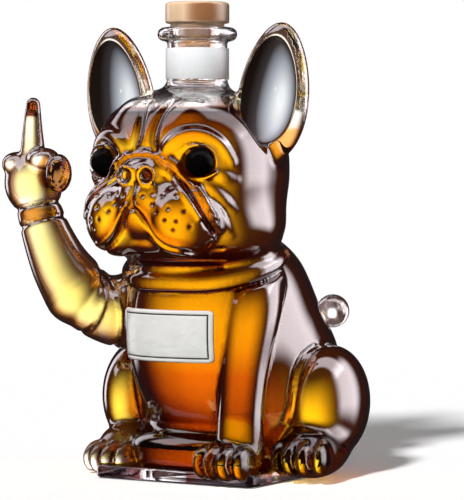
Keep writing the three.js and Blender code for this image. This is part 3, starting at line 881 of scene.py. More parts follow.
@functools.lru_cache(maxsize=None)
def mottle_group():
    """Two colours mixed in soft patches, with the same patches as a value."""
    tree, given, result = group_tree(
        "soft_mottle",
        (("Light", "NodeSocketColor", (1, 1, 1, 1)), ("Dark", "NodeSocketColor", (0, 0, 0, 1)),
         ("Scale", "NodeSocketFloat", 200.0), ("Stretch", "NodeSocketVector", (1, 1, 1))),
        (("Color", "NodeSocketColor"), ("Patches", "NodeSocketFloat")))
    place = node(tree, "ShaderNodeTexCoord")
    stretch = node(tree, "ShaderNodeVectorMath", operation="MULTIPLY")
    noise = node(tree, "ShaderNodeTexNoise")
    set_inputs(noise, Detail=5.0, Roughness=0.6)
    mix = node(tree, "ShaderNodeMix", data_type="RGBA")
    link = tree.links.new
    link(place.outputs["Object"], stretch.inputs[0])
    link(given.outputs["Stretch"], stretch.inputs[1])
    link(stretch.outputs[0], noise.inputs["Vector"])
    link(given.outputs["Scale"], noise.inputs["Scale"])
    link(noise.outputs["Fac"], mix.inputs["Factor"])
    link(given.outputs["Dark"], mix.inputs["A"])
    link(given.outputs["Light"], mix.inputs["B"])
    link(mix.outputs["Result"], result.inputs["Color"])
    link(noise.outputs["Fac"], result.inputs["Patches"])
    return tree


def add_mottle(tree, light, dark, scale, stretch=(1, 1, 1)):
    mottle = node(tree, "ShaderNodeGroup", node_tree=mottle_group())
    set_inputs(mottle, Light=light, Dark=dark, Scale=scale, Stretch=stretch)
    return mottle


def add_bump(tree, shader, height, strength, distance):
    bump = node(tree, "ShaderNodeBump")
    set_inputs(bump, Strength=strength, Distance=distance)
    tree.links.new(height, bump.inputs["Height"])
    tree.links.new(bump.outputs["Normal"], shader.inputs["Normal"])


WHITE = (1, 1, 1, 1)
BLACK = (0, 0, 0, 1)
DULL_SLANT = (0.55, 0.45)
SLANT_START = (0.06, 0.42)
EDGE_START = (0.35, 0.75)
# Where painted shade starts and is full, by crease depth and by how shut in the glass is.
CREASE_START = (0.004, 0.05)
SHELTER_START = (0.0, 0.9)


def clear_glass(settings):
    """Clear glass, darker along its edges as painted shade, that takes up the whisky's colour where it lies against
    it.
    """
    material, tree, shader = new_material("clear_glass")
    set_inputs(shader, Roughness=0.0, IOR=1.5, Transmission_Weight=1.0, Coat_Weight=1.0, Coat_Roughness=0.0,
               Coat_IOR=1.9)
    link = tree.links.new
    nearness = attribute(tree, "amber")
    warmth = attribute(tree, "warm")
    polish = attribute(tree, "polish")
    flat = add_mix(tree, warmth, WHITE, tuple(settings.glass_tint))
    turned_away = add_mix(tree, warmth, tuple(settings.slant_shade), tuple(settings.slant_tint))
    edge = add_mix(tree, warmth, tuple(settings.edge_shade), tuple(settings.edge_tint))
    # Painted shade: the glass colour darkens as its surface turns away, less where it is less polished.
    slant = node(tree, "ShaderNodeLayerWeight").outputs["Facing"]
    slant = add_math(tree, "MULTIPLY", slant, add_math(tree, "MULTIPLY_ADD", polish, *DULL_SLANT))
    tone = add_mix(tree, add_fade(tree, slant, *SLANT_START), flat, turned_away)
    tone = add_mix(tree, add_fade(tree, slant, *EDGE_START), tone, edge)
    back = node(tree, "ShaderNodeNewGeometry").outputs["Backfacing"]
    wetted = add_math(tree, "MULTIPLY", add_math(tree, "MAXIMUM", back, attribute(tree, "inner")), nearness)
    link(add_math(tree, "SUBTRACT", 1.0, wetted), shader.inputs["Alpha"])
    # Painted shade: creases and shut-in hollows next to the whisky, and the dark spots, take the crease shade colour.
    painted_shade = add_math(tree, "MAXIMUM", add_fade(tree, attribute(tree, "crease"), *CREASE_START),
                    add_fade(tree, attribute(tree, "occlusion_shade"), *SHELTER_START))
    painted_shade = add_math(tree, "MAXIMUM", add_math(tree, "MULTIPLY", painted_shade, nearness), attribute(tree, "spot_shade"))
    # Painted red shade, multiplied into the glass colour.
    red_shade = add_ramp(tree, attribute(tree, "red_shade"), (0, WHITE), (0.5, tuple(settings.slant_tint)),
                     (1, tuple(settings.red_shade_tint)))
    glow = node(tree, "ShaderNodeMix", data_type="RGBA", blend_type="MULTIPLY")
    glow.inputs["Factor"].default_value = 1.0
    link(tone, glow.inputs["A"])
    link(red_shade, glow.inputs["B"])
    link(add_mix(tree, painted_shade, glow.outputs["Result"], tuple(settings.crease_shade_tint)), shader.inputs["Base Color"])
    link(polish, shader.inputs["Coat Weight"])
    ripple = add_mottle(tree, WHITE, BLACK, 60.0)
    add_bump(tree, shader, ripple.outputs["Patches"], 0.08, 0.0006)
    return material


# Painted reflection on the base plate: black where its faces would mirror a dark room, clear where they show the
# light.
BASE_PAINTED_DARK = (0.012, 0.008, 0.01, 1)
BASE_CLEAR = (0.95, 0.95, 1.0, 1)


def base_glass(settings):
    """Thick clear glass with painted reflection bands, going from black over amber to clear along the plate's faces.
    """
    material, tree, shader = new_material("base_glass")
    set_inputs(shader, Roughness=0.0, IOR=1.3, Transmission_Weight=1.0, Coat_Roughness=0.0, Coat_IOR=2.0)
    tone = attribute(tree, "tone")
    tree.links.new(tone, shader.inputs["Coat Weight"])
    colour = add_ramp(tree, tone, (0, BASE_PAINTED_DARK), (0.45, tuple(settings.crease_shade_tint)), (1, BASE_CLEAR))
    tree.links.new(colour, shader.inputs["Base Color"])
    return material


def whisky_liquid(settings):
    material, tree, shader = new_material("whisky")
    set_inputs(shader, Roughness=0.0, IOR=1.001, Transmission_Weight=1.0)
    absorb = node(tree, "ShaderNodeVolumeAbsorption")
    set_inputs(absorb, Color=tuple(settings.whisky_tint), Density=settings.whisky_strength)
    tree.links.new(absorb.outputs[0], tree.nodes["Material Output"].inputs["Volume"])
    return material


EYE_BLACK = (0.003, 0.002, 0.002, 1)
EYE_DEEP_BLACK = (0.001, 0.001, 0.0015, 1)


def black_glass():
    material, tree, shader = new_material("black_glass")
    mottle = add_mottle(tree, EYE_BLACK, EYE_DEEP_BLACK, 500.0)
    tree.links.new(mottle.outputs["Color"], shader.inputs["Base Color"])
    set_inputs(shader, Roughness=0.05, Specular_IOR_Level=0.03)
    return material


# Painted highlight and shade of the ear linings: pale in the middle of the highlight, dark further out.
EAR_HIGHLIGHT_AND_SHADE = (
    (0.1, (0.92, 0.97, 1.0, 1)),
    (0.4, (0.42, 0.46, 0.52, 1)),
    (0.66, (0.05, 0.042, 0.045, 1)),
    (0.95, (0.012, 0.007, 0.005, 1)),
)


def painted_ear_highlight():
    """Dark, faintly metallic lining: painted shade with a painted highlight, paler towards the middle of the ear."""
    material, tree, shader = new_material("ear_painted_highlight")
    set_inputs(shader, Metallic=0.3, Roughness=0.38)
    tree.links.new(add_ramp(tree, attribute(tree, "cup"), *EAR_HIGHLIGHT_AND_SHADE), shader.inputs["Base Color"])
    return material


# A painted reflection: a darker stripe on one side of the cap, where its glossy wood would mirror a dark part of the
# room.
DARK_REFLECTION_SIDE = (0.74, -0.67, 0)
DARK_REFLECTION_SHADE = (0.32, 0.2, 0.13, 1)
DARK_REFLECTION_START = (0.72, 0.98)


def turned_wood(settings):
    material, tree, shader = new_material("cap_wood")
    wood = tuple(settings.wood)
    grain = add_mottle(tree, wood, shaded(wood, 0.5), 260.0, (1, 1, 0.12))
    place = node(tree, "ShaderNodeTexCoord")
    along = node(tree, "ShaderNodeVectorMath", operation="DOT_PRODUCT")
    tree.links.new(place.outputs["Normal"], along.inputs[0])
    along.inputs[1].default_value = DARK_REFLECTION_SIDE
    # Painted reflection: the dark stripe on the side of the cap that faces the given direction.
    dark_band = add_fade(tree, along.outputs["Value"], *DARK_REFLECTION_START)
    dark_reflection = tuple(c * d for c, d in zip(wood, DARK_REFLECTION_SHADE))
    tree.links.new(add_mix(tree, dark_band, grain.outputs["Color"], dark_reflection), shader.inputs["Base Color"])
    set_inputs(shader, Roughness=0.38, Coat_Weight=0.35, Coat_Roughness=0.15)
    add_bump(tree, shader, grain.outputs["Patches"], 0.25, 0.0003)
    return material


def natural_cork(settings):
    material, tree, shader = new_material("cork")
    cork = tuple(settings.cork)
    dark = shaded(cork, 0.45)
    grain = add_mottle(tree, cork, dark, 700.0)
    tree.links.new(grain.outputs["Color"], shader.inputs["Base Color"])
    set_inputs(shader, Roughness=0.8)
    add_bump(tree, shader, grain.outputs["Patches"], 0.4, 0.0004)
    return material


def band_paper(settings):
    material, tree, shader = new_material("band_paper")
    paper = tuple(settings.paper)
    dark = shaded(paper, 0.88)
    fibre = add_mottle(tree, paper, dark, 900.0, (1, 1, 0.6))
    tree.links.new(fibre.outputs["Color"], shader.inputs["Base Color"])
    set_inputs(shader, Roughness=0.5, Coat_Weight=0.2, Coat_Roughness=0.2)
    add_bump(tree, shader, fibre.outputs["Patches"], 0.15, 0.0001)
    return material


BORDER_LINE = (0.02, 0.018, 0.016, 1)


def label_pewter(settings):
    material, tree, shader = new_material("label_pewter")
    pewter = tuple(settings.pewter)
    dark = shaded(pewter, 0.72)
    cloud = add_mottle(tree, pewter, dark, 90.0)
    lined = add_mix(tree, attribute(tree, "border"), cloud.outputs["Color"], BORDER_LINE)
    tree.links.new(lined, shader.inputs["Base Color"])
    set_inputs(shader, Metallic=0.15, Roughness=0.36)
    return material


# Pieces

GLASS_NODES = ("head_shell", "torso_shell", "neck_tube", "left_ear", "right_ear", "raised_arm", "raised_paw",
               "left_foreleg", "left_haunch", "right_haunch", "left_fore_paw", "left_hind_paw", "right_hind_paw",
               "tail_knob")


def rising(values, start, reach):
    return np.clip((values - start) / reach, 0, 1)


def falling(values, end, reach):
    return np.clip((end - values) / reach, 0, 1)


def distance_to(points, centre):
    return np.linalg.norm(points - centre, axis=1)


def red_shade_depth(points, normals, fold_line):
    """How much painted red shade the glass gets: low in the chest, under the jaw, on the crown, in the folds and on
    the hand.
    """
    x, y, z = points.T
    aside = np.abs(x)
    chest = falling(z, *CHEST_RED_SHADE) * falling(aside, *CHEST_RED_SHADE_SIDE)
    jaw = falling(z, *JAW_RED_SHADE_TOP) * rising(z, *JAW_RED_SHADE_FOOT) * np.clip(-JAW_RED_SHADE_SLOPE * normals[:, 2], 0, 1)
    arm = x < ARM_SIDE
    fold = np.zeros(len(points))
    for centre in fold_line:
        fold = np.maximum(fold, np.clip(FOLD_RED_SHADE[0] - distance_to(points, centre) / FOLD_RED_SHADE[1], 0, 1))
    ear_root = falling(z, *EAR_ROOT_TOP) * rising(z, *EAR_ROOT_FOOT) * rising(aside, *EAR_ROOT_SIDE) * (x > ARM_SIDE)
    depths = {
        "wrist": arm * rising(z, WRIST[0], WRIST_FADE) * falling(z, WRIST[1], WRIST_FADE),
        "fingertip": arm * rising(z, *FINGERTIP_RED_SHADE),
        "thumb": falling(distance_to(points, THUMB[0]), *THUMB_RED_SHADE),
        "fold": fold,
        "ear_root": ear_root,
        "crown": rising(z, *CROWN_FOOT) * falling(aside, *CROWN_SIDE) * falling(z, *CROWN_TOP),
    }
    return np.max([chest, jaw] + [share * depths[place] for place, share in RED_SHADE_SHARES.items()], axis=0)


def amber_share(points, above_fill, from_hollow):
    """How far the glass takes up the whisky's colour: next to the hollow, at the feet and in the raised arm."""
    amber = np.clip(np.maximum(AMBER_AT_HOLLOW - from_hollow / AMBER_DEPTH,
                               (FOOT_AMBER[0] - points[:, 2]) / FOOT_AMBER[1]), 0, 1)
    amber = amber * np.clip(distance_to(points, TAIL[0]) - TAIL[1][0] - TAIL_CLEARANCE, 0, 1)
    beside_head = ARM_AMBER_SIDE[0] + ARM_AMBER_LEAN[0] * np.clip(points[:, 2] - ARM_AMBER_LEAN[1], 0, None)
    amber = np.maximum(amber, np.clip((-beside_head - points[:, 0]) / ARM_AMBER_SIDE[1], 0, 1))
    return amber * np.clip(1 - above_fill / FILL_FADE, 0, 1)


def sheltered(points, normals, outside):
    """How closely the glass in front of a point shuts it in, used to paint shade into the glass."""
    occlusion_shade = np.zeros(len(points))
    for reach in SHELTER_REACHES:
        free = outside.sample(points + normals * reach) / reach
        occlusion_shade = np.maximum(occlusion_shade, np.clip((SHELTER_FREE - free) / SHELTER_FREE, 0, 1))
    return occlusion_shade


def paw_polish(points):
    polish = np.ones(len(points))
    reach, start = PAW_POLISH_REACH
    for centre, turn in PAWS:
        polish = np.minimum(polish, np.clip(distance_to(points, centre) / reach - start, PAW_POLISH, 1))
    return polish


def glass_polish(points, polish, fill):
    """The paws' polish, also lowered at the belly's foot and on the forehead below the fill height."""
    x, y, z = points.T
    belly = np.clip((z - BELLY_FOOT[0]) / BELLY_FOOT[1], BELLY_POLISH, 1)
    polish = np.minimum(polish, belly + (np.abs(x - BELLY_MIDDLE) > BELLY_HALF))
    forehead = rising(z, *FOREHEAD_HEIGHT) * falling(y, *FOREHEAD_FRONT)
    return np.minimum(polish, 1 - FOREHEAD_MATT * forehead * (z < fill))


def dark_spots(points, above_fill, from_hollow, outside):
    """Painted shade: a dark line at the fill height and dark whisker dimples."""
    spots = np.clip(FILL_LINE - np.abs(above_fill), 0, 1) * (from_hollow < FILL_LINE_DEPTH)
    for centre in whisker_pores(outside):
        spots = np.maximum(spots, falling(distance_to(points, centre), DIMPLE_SHADE_REACH, DIMPLE_SHADE_FADE))
    return spots


class DECANTER_OT_glass_dog(bpy.types.Operator):
    """Sculpt the dog's blown glass with its hollow and neck"""
    bl_idname = "decanter.glass_dog"
    bl_label = "Glass Dog"

    def execute(self, context):
        settings = context.scene.decanter
        outside, inside = dog_forms(settings.cell / MM, settings.wall / MM)
        glass = np.maximum(outside.distance, -inside.distance)
        mesh = skin_mesh(glass, outside, "glass_dog", 2)
        points = vertex_vectors(mesh, "co") / MM
        normals = vertex_vectors(mesh, "normal")
        fill = settings.fill / MM
        above_fill = points[:, 2] - fill
        from_hollow = inside.sample(points)
        inner = np.abs(from_hollow) < np.abs(outside.sample(points))
        amber = amber_share(points, above_fill, from_hollow)
        ears = EAR_WARMTH * rising(np.abs(points[:, 0]), *EAR_WARM_SIDE) * (points[:, 2] > EAR_WARM_HEIGHT)
        fold_line = [on_head(outside, heading * side, height, 1)
                     for side in (1, -1) for rows in (NOSE_FOLD, LIP)
                     for heading, height, radius in smooth_rows(rows, 4)]
        polish = paw_polish(points)
        off_paws = np.clip((polish - PAW_POLISH) * 2, PAW_RED_SHADE_LEAST, 1)
        mark(mesh, "amber", amber)
        mark(mesh, "warm", np.maximum(amber, ears))
        mark(mesh, "inner", inner)
        mark(mesh, "occlusion_shade", sheltered(points, normals, outside) * (1 - inner))
        mark(mesh, "red_shade", red_shade_depth(points, normals, fold_line) * (1 - inner) * off_paws)
        mark(mesh, "polish", glass_polish(points, polish, fill))
        mark(mesh, "spot_shade", dark_spots(points, above_fill, from_hollow, outside))
        piece = placed("glass_dog", mesh, clear_glass(settings))
        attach(piece, "bottle")
        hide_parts(*GLASS_NODES)
        return {"FINISHED"}


class DECANTER_OT_whisky(bpy.types.Operator):
    """Fill the hollow with whisky up to the fill height"""
    bl_idname = "decanter.whisky"
    bl_label = "Whisky"

    def execute(self, context):
        settings = context.scene.decanter
        _, inside = dog_forms(settings.cell / MM, settings.wall / MM)
        heights = inside.axes[2][None, None, :]
        liquid = np.maximum(inside.distance - 0.12, heights - settings.fill / MM).astype(np.float32)
        piece = placed("whisky", skin_mesh(liquid, inside, "whisky", 3), whisky_liquid(settings))
        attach(piece, "bottle")
        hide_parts("whisky_fill")
        return {"FINISHED"}


class DECANTER_OT_eyes(bpy.types.Operator):
    """Set the two black glass eyes"""
    bl_idname = "decanter.eyes"
    bl_label = "Eyes"

    def execute(self, context):
        material = black_glass()
        for side, name in ((1, "left_eye"), (-1, "right_eye")):
            centre, look, sideways = eye_frame(side)
            rings = []
            for angle in np.linspace(4, 176, 40):
                a = math.radians(angle)
                radius = EYE_RADIUS * math.sin(a)
                depth = -EYE_RADIUS * math.cos(a)
                if depth > 4.6:
                    depth += 0.5 * math.sin((depth - 4.6) / (EYE_RADIUS - 4.6) * math.pi / 2)
                ring = [centre + look * depth + radius * (math.cos(t) * sideways + math.sin(t) * np.array((0, 0, 1)))
                        for t in np.linspace(0, 2 * math.pi * side, 48, endpoint=False)]
                rings.append([tuple(p * MM) for p in ring])
            piece = placed(name + "_glass", ring_mesh(name + "_glass", rings), material)
            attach(piece, "bottle")
            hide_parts(name)
        return {"FINISHED"}


class DECANTER_OT_base(bpy.types.Operator):
    """Cast the clear base plate with its softened edges"""
    bl_idname = "decanter.base"
    bl_label = "Base Plate"

    def execute(self, context):
        settings = context.scene.decanter
        low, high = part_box("base_plate")
        low = np.array(low) / MM
        high = np.array(high) / MM
        centre = (low + high) / 2
        half = (high - low) / 2
        rings = []
        for inset, height in ((1.4, low[2]), (0.5, low[2] + 0.25), (0.1, low[2] + 0.8), (0, low[2] + 1.4),
                              (0, high[2] - 1.2), (0.1, high[2] - 0.7), (0.5, high[2] - 0.2), (1.2, high[2])):
            outline = rounded_outline(centre, half[0] - inset, half[1] - inset, 4.0 - inset * 0.5, 8, 24)
            rings.append([(p[0] * MM, p[1] * MM, height * MM) for p in outline])
        mesh = ring_mesh("clear_base", rings)
        # Painted reflection bands on the plate's sides: clear across the middle of the front, at the back and on the
        # left, dark red in two bands on the right, black elsewhere; the top is dark.
        place = (vertex_vectors(mesh, "co") / MM - centre) / half
        along_front = np.exp(-((place[:, 0] + 0.1) / 0.34) ** 2) * (place[:, 1] < -0.93)
        along_side = np.exp(-((np.abs(place[:, 1]) - 0.45) / 0.3) ** 2) * (place[:, 0] > 0.93)
        rear = np.maximum(place[:, 1], -place[:, 0]) > 0.93
        tone = np.maximum(np.maximum(along_front, 0.5 * along_side), rear) * (np.abs(place[:, 2]) < 0.9)
        tone = np.maximum(tone, 0.4 * (place[:, 2] > 0.9))
        mark(mesh, "tone", tone)
        piece = placed("clear_base", mesh, base_glass(settings))
        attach(piece, "bottle")
        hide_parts("base_plate")
        return {"FINISHED"}


def rounded_outline(centre, half_x, half_y, radius, corner_points, edge_points=0):
    """Points round a rounded rectangle, anticlockwise."""
    points = []
    corners = ((1, 1, 0), (-1, 1, 90), (-1, -1, 180), (1, -1, 270))
    for sx, sy, start in corners:
        hub = (centre[0] + sx * (half_x - radius), centre[1] + sy * (half_y - radius))
        for a in np.linspace(start, start + 90, corner_points):
            points.append((hub[0] + radius * math.cos(math.radians(a)), hub[1] + radius * math.sin(math.radians(a))))
    if edge_points:
        filled = []
        for i, point in enumerate(points):
            filled.append(point)
            if (i + 1) % corner_points == 0:
                after = points[(i + 1) % len(points)]
                for t in np.linspace(0, 1, edge_points + 2)[1:-1]:
                    filled.append((point[0] + (after[0] - point[0]) * t, point[1] + (after[1] - point[1]) * t))
        points = filled
    return points


class DECANTER_OT_stopper(bpy.types.Operator):
    """Turn the wooden cap and its cork"""
    bl_idname = "decanter.stopper"
    bl_label = "Stopper"

    def execute(self, context):
        settings = context.scene.decanter
        cap_low, cap_high = (np.array(v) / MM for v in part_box("stopper_cap"))
        cork_low, cork_high = (np.array(v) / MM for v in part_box("stopper_cork"))
        axis = ((cap_low[0] + cap_high[0]) / 2, (cap_low[1] + cap_high[1]) / 2)
        radius = (cap_high[0] - cap_low[0]) / 2
        bottom, top = cap_low[2], cap_high[2]
        shoulder = 12.85
        rim = bottom + 1.7
        profile = ((4, bottom), (shoulder - 0.4, bottom), (shoulder, bottom + 0.4), (shoulder, rim - 0.1),
                   (radius - 0.8, rim), (radius - 0.2, rim + 0.25), (radius, rim + 0.9), (radius, top - 2.0),
                   (radius - 0.15, top - 1.2), (radius - 0.6, top - 0.55), (radius - 1.6, top - 0.2),
                   (radius - 4, top - 0.05), (4, top))
        cap = placed("wooden_cap", turned_mesh("wooden_cap", profile, axis), turned_wood(settings))
        cork_radius = (cork_high[0] - cork_low[0]) / 2
        profile = ((2, cork_low[2]), (cork_radius - 1.2, cork_low[2]), (cork_radius - 0.35, cork_low[2] + 0.3),
                   (cork_radius - 0.1, cork_low[2] + 1.2), (cork_radius, cork_low[2] + 8),
                   (cork_radius, bottom - 0.02), (2, bottom - 0.02))
        cork = placed("cork_plug", turned_mesh("cork_plug", profile, axis), natural_cork(settings))
        for piece, slot, cad in ((cap, "cap_wood", "stopper_cap"), (cork, "cork", "stopper_cork")):
            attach(piece, "stopper")
            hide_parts(cad)
        return {"FINISHED"}


class DECANTER_OT_neck_band(bpy.types.Operator):
    """Wrap the plain paper band round the neck"""
    bl_idname = "decanter.neck_band"
    bl_label = "Neck Band"

    def execute(self, context):
        settings = context.scene.decanter
        low, high = (np.array(v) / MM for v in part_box("neck_band"))
        axis = ((low[0] + high[0]) / 2, (low[1] + high[1]) / 2)
        outer = (high[0] - low[0]) / 2
        inner = NECK_RADIUS + 0.08
        bottom, top = low[2], high[2]
        section = [(inner, bottom), (outer - 0.1, bottom), (outer, bottom + 0.12), (outer, (bottom + top) / 2),
                   (outer, top - 0.12), (outer - 0.1, top), (inner, top), (inner, (bottom + top) / 2)]
        count = 120
        points = []
        faces = []
        for i in range(count):
            a = 2 * math.pi * i / count
            for radius, height in section:
                points.append(((axis[0] + radius * math.cos(a)) * MM, (axis[1] + radius * math.sin(a)) * MM,
                               height * MM))
        size = len(section)
        for i in range(count):
            for k in range(size):
                faces.append((i * size + k, ((i + 1) % count) * size + k, ((i + 1) % count) * size + (k + 1) % size,
                              i * size + (k + 1) % size))
        mesh = bpy.data.meshes.new("paper_band")
        mesh.from_pydata(points, [], faces)
        mesh.update()
        mesh.polygons.foreach_set("use_smooth", np.ones(len(faces), bool))
        piece = placed("paper_band", mesh, band_paper(settings))
        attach(piece, "bottle")
        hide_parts("neck_band")
        return {"FINISHED"}


LABEL_CORNER = 2.2
LABEL_THICKNESS = 1.3
LABEL_LINE = (1.9, 2.3)
LABEL_LINE_DEPTH = 0.25


class DECANTER_OT_label(bpy.types.Operator):
    """Bend the bare label plate to the chest, with its line border"""
    bl_idname = "decanter.label"
    bl_label = "Label Plate"

    def execute(self, context):
        settings = context.scene.decanter
        outside, _ = dog_forms(settings.cell / MM, settings.wall / MM)
        low, high = (np.array(v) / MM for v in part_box("label_plate"))
        centre = ((low[0] + high[0]) / 2, (low[2] + high[2]) / 2)
        half_x = (high[0] - low[0]) / 2
        half_z = (high[2] - low[2]) / 2
        insets = [0, 0.25, 0.6, 1.1, 1.6, 1.9, 2.3, 2.6, 3.2] + list(np.linspace(4.2, half_z, 10))
        front = []
        back = []
        border = []
        for inset in insets:
            ring_front = []
            ring_back = []
            lift = LABEL_THICKNESS - 0.5 * max(0, 1 - inset / 0.6) ** 2
            on_line = LABEL_LINE[0] <= inset <= LABEL_LINE[1]
            if on_line:
                lift -= LABEL_LINE_DEPTH
            corner = max(LABEL_CORNER - inset, 0.0)
            for x, z in rounded_outline(centre, half_x - inset, half_z - inset, corner, 6, 18):
                skin = outside.first_skin((x, -70, z), (0, 1, 0), 80)
                ring_front.append((x * MM, (skin[1] - lift) * MM, z * MM))
                ring_back.append((x * MM, (skin[1] + 0.15) * MM, z * MM))
                border.append(1.0 if on_line else 0.0)
            front.append(ring_front)
            back.append(ring_back)
        rings = back[::-1] + front
        mesh = ring_mesh("label_sheet", rings, closed_ends=False)
        values = np.zeros(len(mesh.vertices), np.float32)
        values[len(border):2 * len(border)] = border
        mark(mesh, "border", values)
        weld(mesh)
        piece = placed("label_sheet", mesh, label_pewter(settings))
        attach(piece, "bottle")
        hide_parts("label_plate")
        return {"FINISHED"}


EAR_LINING_RINGS = 18
EAR_LINING_SIDES = 72
EAR_LINING_FOOT = 154.0
EAR_LINING_LIFTS = (0.15, 0.5)
# How far the painted highlight of each ear lies aside and below its middle, and how flat it is.
LEFT_HIGHLIGHT_ASIDE = 0.22
RIGHT_HIGHLIGHT_ASIDE = 0.3
HIGHLIGHT_DROP = 0.12
HIGHLIGHT_FLATNESS = 0.7


def ear_cup_point(side, polar, turn, lift):
    """A point of the ear's cup, lifted off the glass, and how far it lies from the ear's middle, 1 at its skin."""
    matrix = turning((0, EAR_LEAN * side, 0))
    centre = np.array(mirrored(EAR_CENTRE, side), float)
    radii = np.array(EAR_CUP_RADII, float) - lift
    local = radii * (math.sin(polar) * math.cos(turn), math.cos(polar), math.sin(polar) * math.sin(turn))
    local[0] *= 1 - EAR_TAPER * local[2] / EAR_CUP_RADII[2]
    point = centre + mirrored(EAR_CUP_OFFSET, side) + matrix @ local
    inside = matrix.T @ (point - centre) / EAR_RADII
    inside[0] /= 1 - EAR_TAPER * np.clip(inside[2], -1.3, 1.3)
    return point, inside @ inside


class DECANTER_OT_ear_linings(bpy.types.Operator):
    """Lay a dark lining with a painted highlight into both ear cups; its darkness is painted shade"""
    bl_idname = "decanter.ear_linings"
    bl_label = "Ear Linings"

    def execute(self, context):
        material = painted_ear_highlight()
        turns = np.linspace(0, 2 * math.pi, EAR_LINING_SIDES, endpoint=False)
        shares = np.linspace(0.04, 1, EAR_LINING_RINGS)
        for side, name, shift in ((1, "left_ear_lining", LEFT_HIGHLIGHT_ASIDE),
                                  (-1, "right_ear_lining", RIGHT_HIGHLIGHT_ASIDE)):
            limits = []
            for turn in turns:
                limit = 0.2
                for polar in np.linspace(0.2, 1.6, 141):
                    point, depth = ear_cup_point(side, polar, turn, EAR_LINING_LIFTS[0])
                    if depth > 0.95 or point[2] < EAR_LINING_FOOT:
                        break
                    limit = polar
                limits.append(limit)
            limits = np.array(limits)
            for _ in range(4):
                limits = (np.roll(limits, 1) + limits * 2 + np.roll(limits, -1)) / 4
            rings = []
            highlight_distance = []
            for lift, order in zip(EAR_LINING_LIFTS, (shares, shares[::-1])):
                for share in order:
                    rings.append([tuple(ear_cup_point(side, share * limit, turn, lift)[0] * MM)
                                  for turn, limit in zip(turns[::-side], limits[::-side])])
                    # Distance from the painted highlight's middle, which the lining's colour ramp reads.
                    highlight_distance += [math.hypot(share * math.cos(turn) - shift,
                                         (share * math.sin(turn) + HIGHLIGHT_DROP) * HIGHLIGHT_FLATNESS)
                              for turn in turns[::-side]]
            mesh = ring_mesh(name, rings)
            highlight_distance += [0.0] * (len(mesh.vertices) - len(highlight_distance))
            mark(mesh, "cup", highlight_distance)
            piece = placed(name, mesh, material)
            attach(piece, "bottle")
        return {"FINISHED"}


# Stage

FRAME_WIDTH = 464
FRAME_HEIGHT = 500
PIXELS_PER_METRE = 2080.0
AXIS_COLUMN = 216.4
HORIZON_ROW = 163.0

# Light panels round the table: azimuth, elevation, half width, half height, edge, all in degrees, and brightness.
# The backdrop shows through the glass, the soft boxes are mirrored in it, and the rest is lit by an even glow.
# The last backdrop panel lies under the table, for glass seen from above.
BACKDROP_PANELS = (
    (208, 3, 9, 9.5, 6.5, 2.2),
    (32, 3, 110, 14, 8, 0.9),
    (162, 5, 15, 12, 6, 0.9),
    (32, 8, 16, 26, 10, 0.4),
    (32, -72, 180, 24, 12, 1.6),
)
SOFT_BOXES = (
    (125, 15, 21, 27, 10, 4.4),
    (-98, 22, 9, 34, 5, 3.0),
    (32, 84, 60, 13, 4, 2.8),
)
SOFT_BOX_TINT = (1.0, 0.9, 0.94)
BACKDROP_AMBIENT = (0.095, 0.045, 0.038)
SOFT_BOX_AMBIENT = 0.02
GLOW = 0.2
TABLE_RADIUS = 0.7
TABLE_DROP = 0.0005
TABLE_FADE = (0.7, 0.98)
# The key lamp: azimuth, elevation, strength, and the angle it spreads over.
KEY_LAMP = (9, 33, 4.4, 7)
TABLE_WHITE = (0.95, 0.95, 0.955, 1)
TABLE_DIM = (0.06, 0.06, 0.06, 1)
TABLE_LIFT = 0.08


def sky_direction(azimuth, elevation):
    a = math.radians(azimuth)
    e = math.radians(elevation)
    return Vector((math.sin(a) * math.cos(e), -math.cos(a) * math.cos(e), math.sin(e)))


def panel_mask(tree, direction, azimuth, elevation, half_width, half_height, edge):
    a = math.radians(azimuth)
    facing = sky_direction(azimuth, elevation)
    sideways = Vector((math.cos(a), math.sin(a), 0))
    upward = facing.cross(sideways)

    def along(vector):
        dot = node(tree, "ShaderNodeVectorMath", operation="DOT_PRODUCT")
        tree.links.new(direction, dot.inputs[0])
        dot.inputs[1].default_value = vector
        return dot.outputs["Value"]

    def within(angle, limit):
        return add_fade(tree, angle, math.radians(limit - edge), math.radians(limit + edge), 1, 0)

    across = add_math(tree, "ABSOLUTE", add_math(tree, "ARCTAN2", along(sideways), along(facing)))
    rise = add_math(tree, "ABSOLUTE", add_math(tree, "ARCSINE", along(upward)))
    return add_math(tree, "MULTIPLY", within(across, half_width), within(rise, half_height))


def panel_sum(tree, direction, panels, ambient):
    total = ambient
    for azimuth, elevation, half_width, half_height, edge, brightness in panels:
        mask = panel_mask(tree, direction, azimuth, elevation, half_width, half_height, edge)
        total = add_math(tree, "MULTIPLY_ADD", mask, brightness, total)
    return total


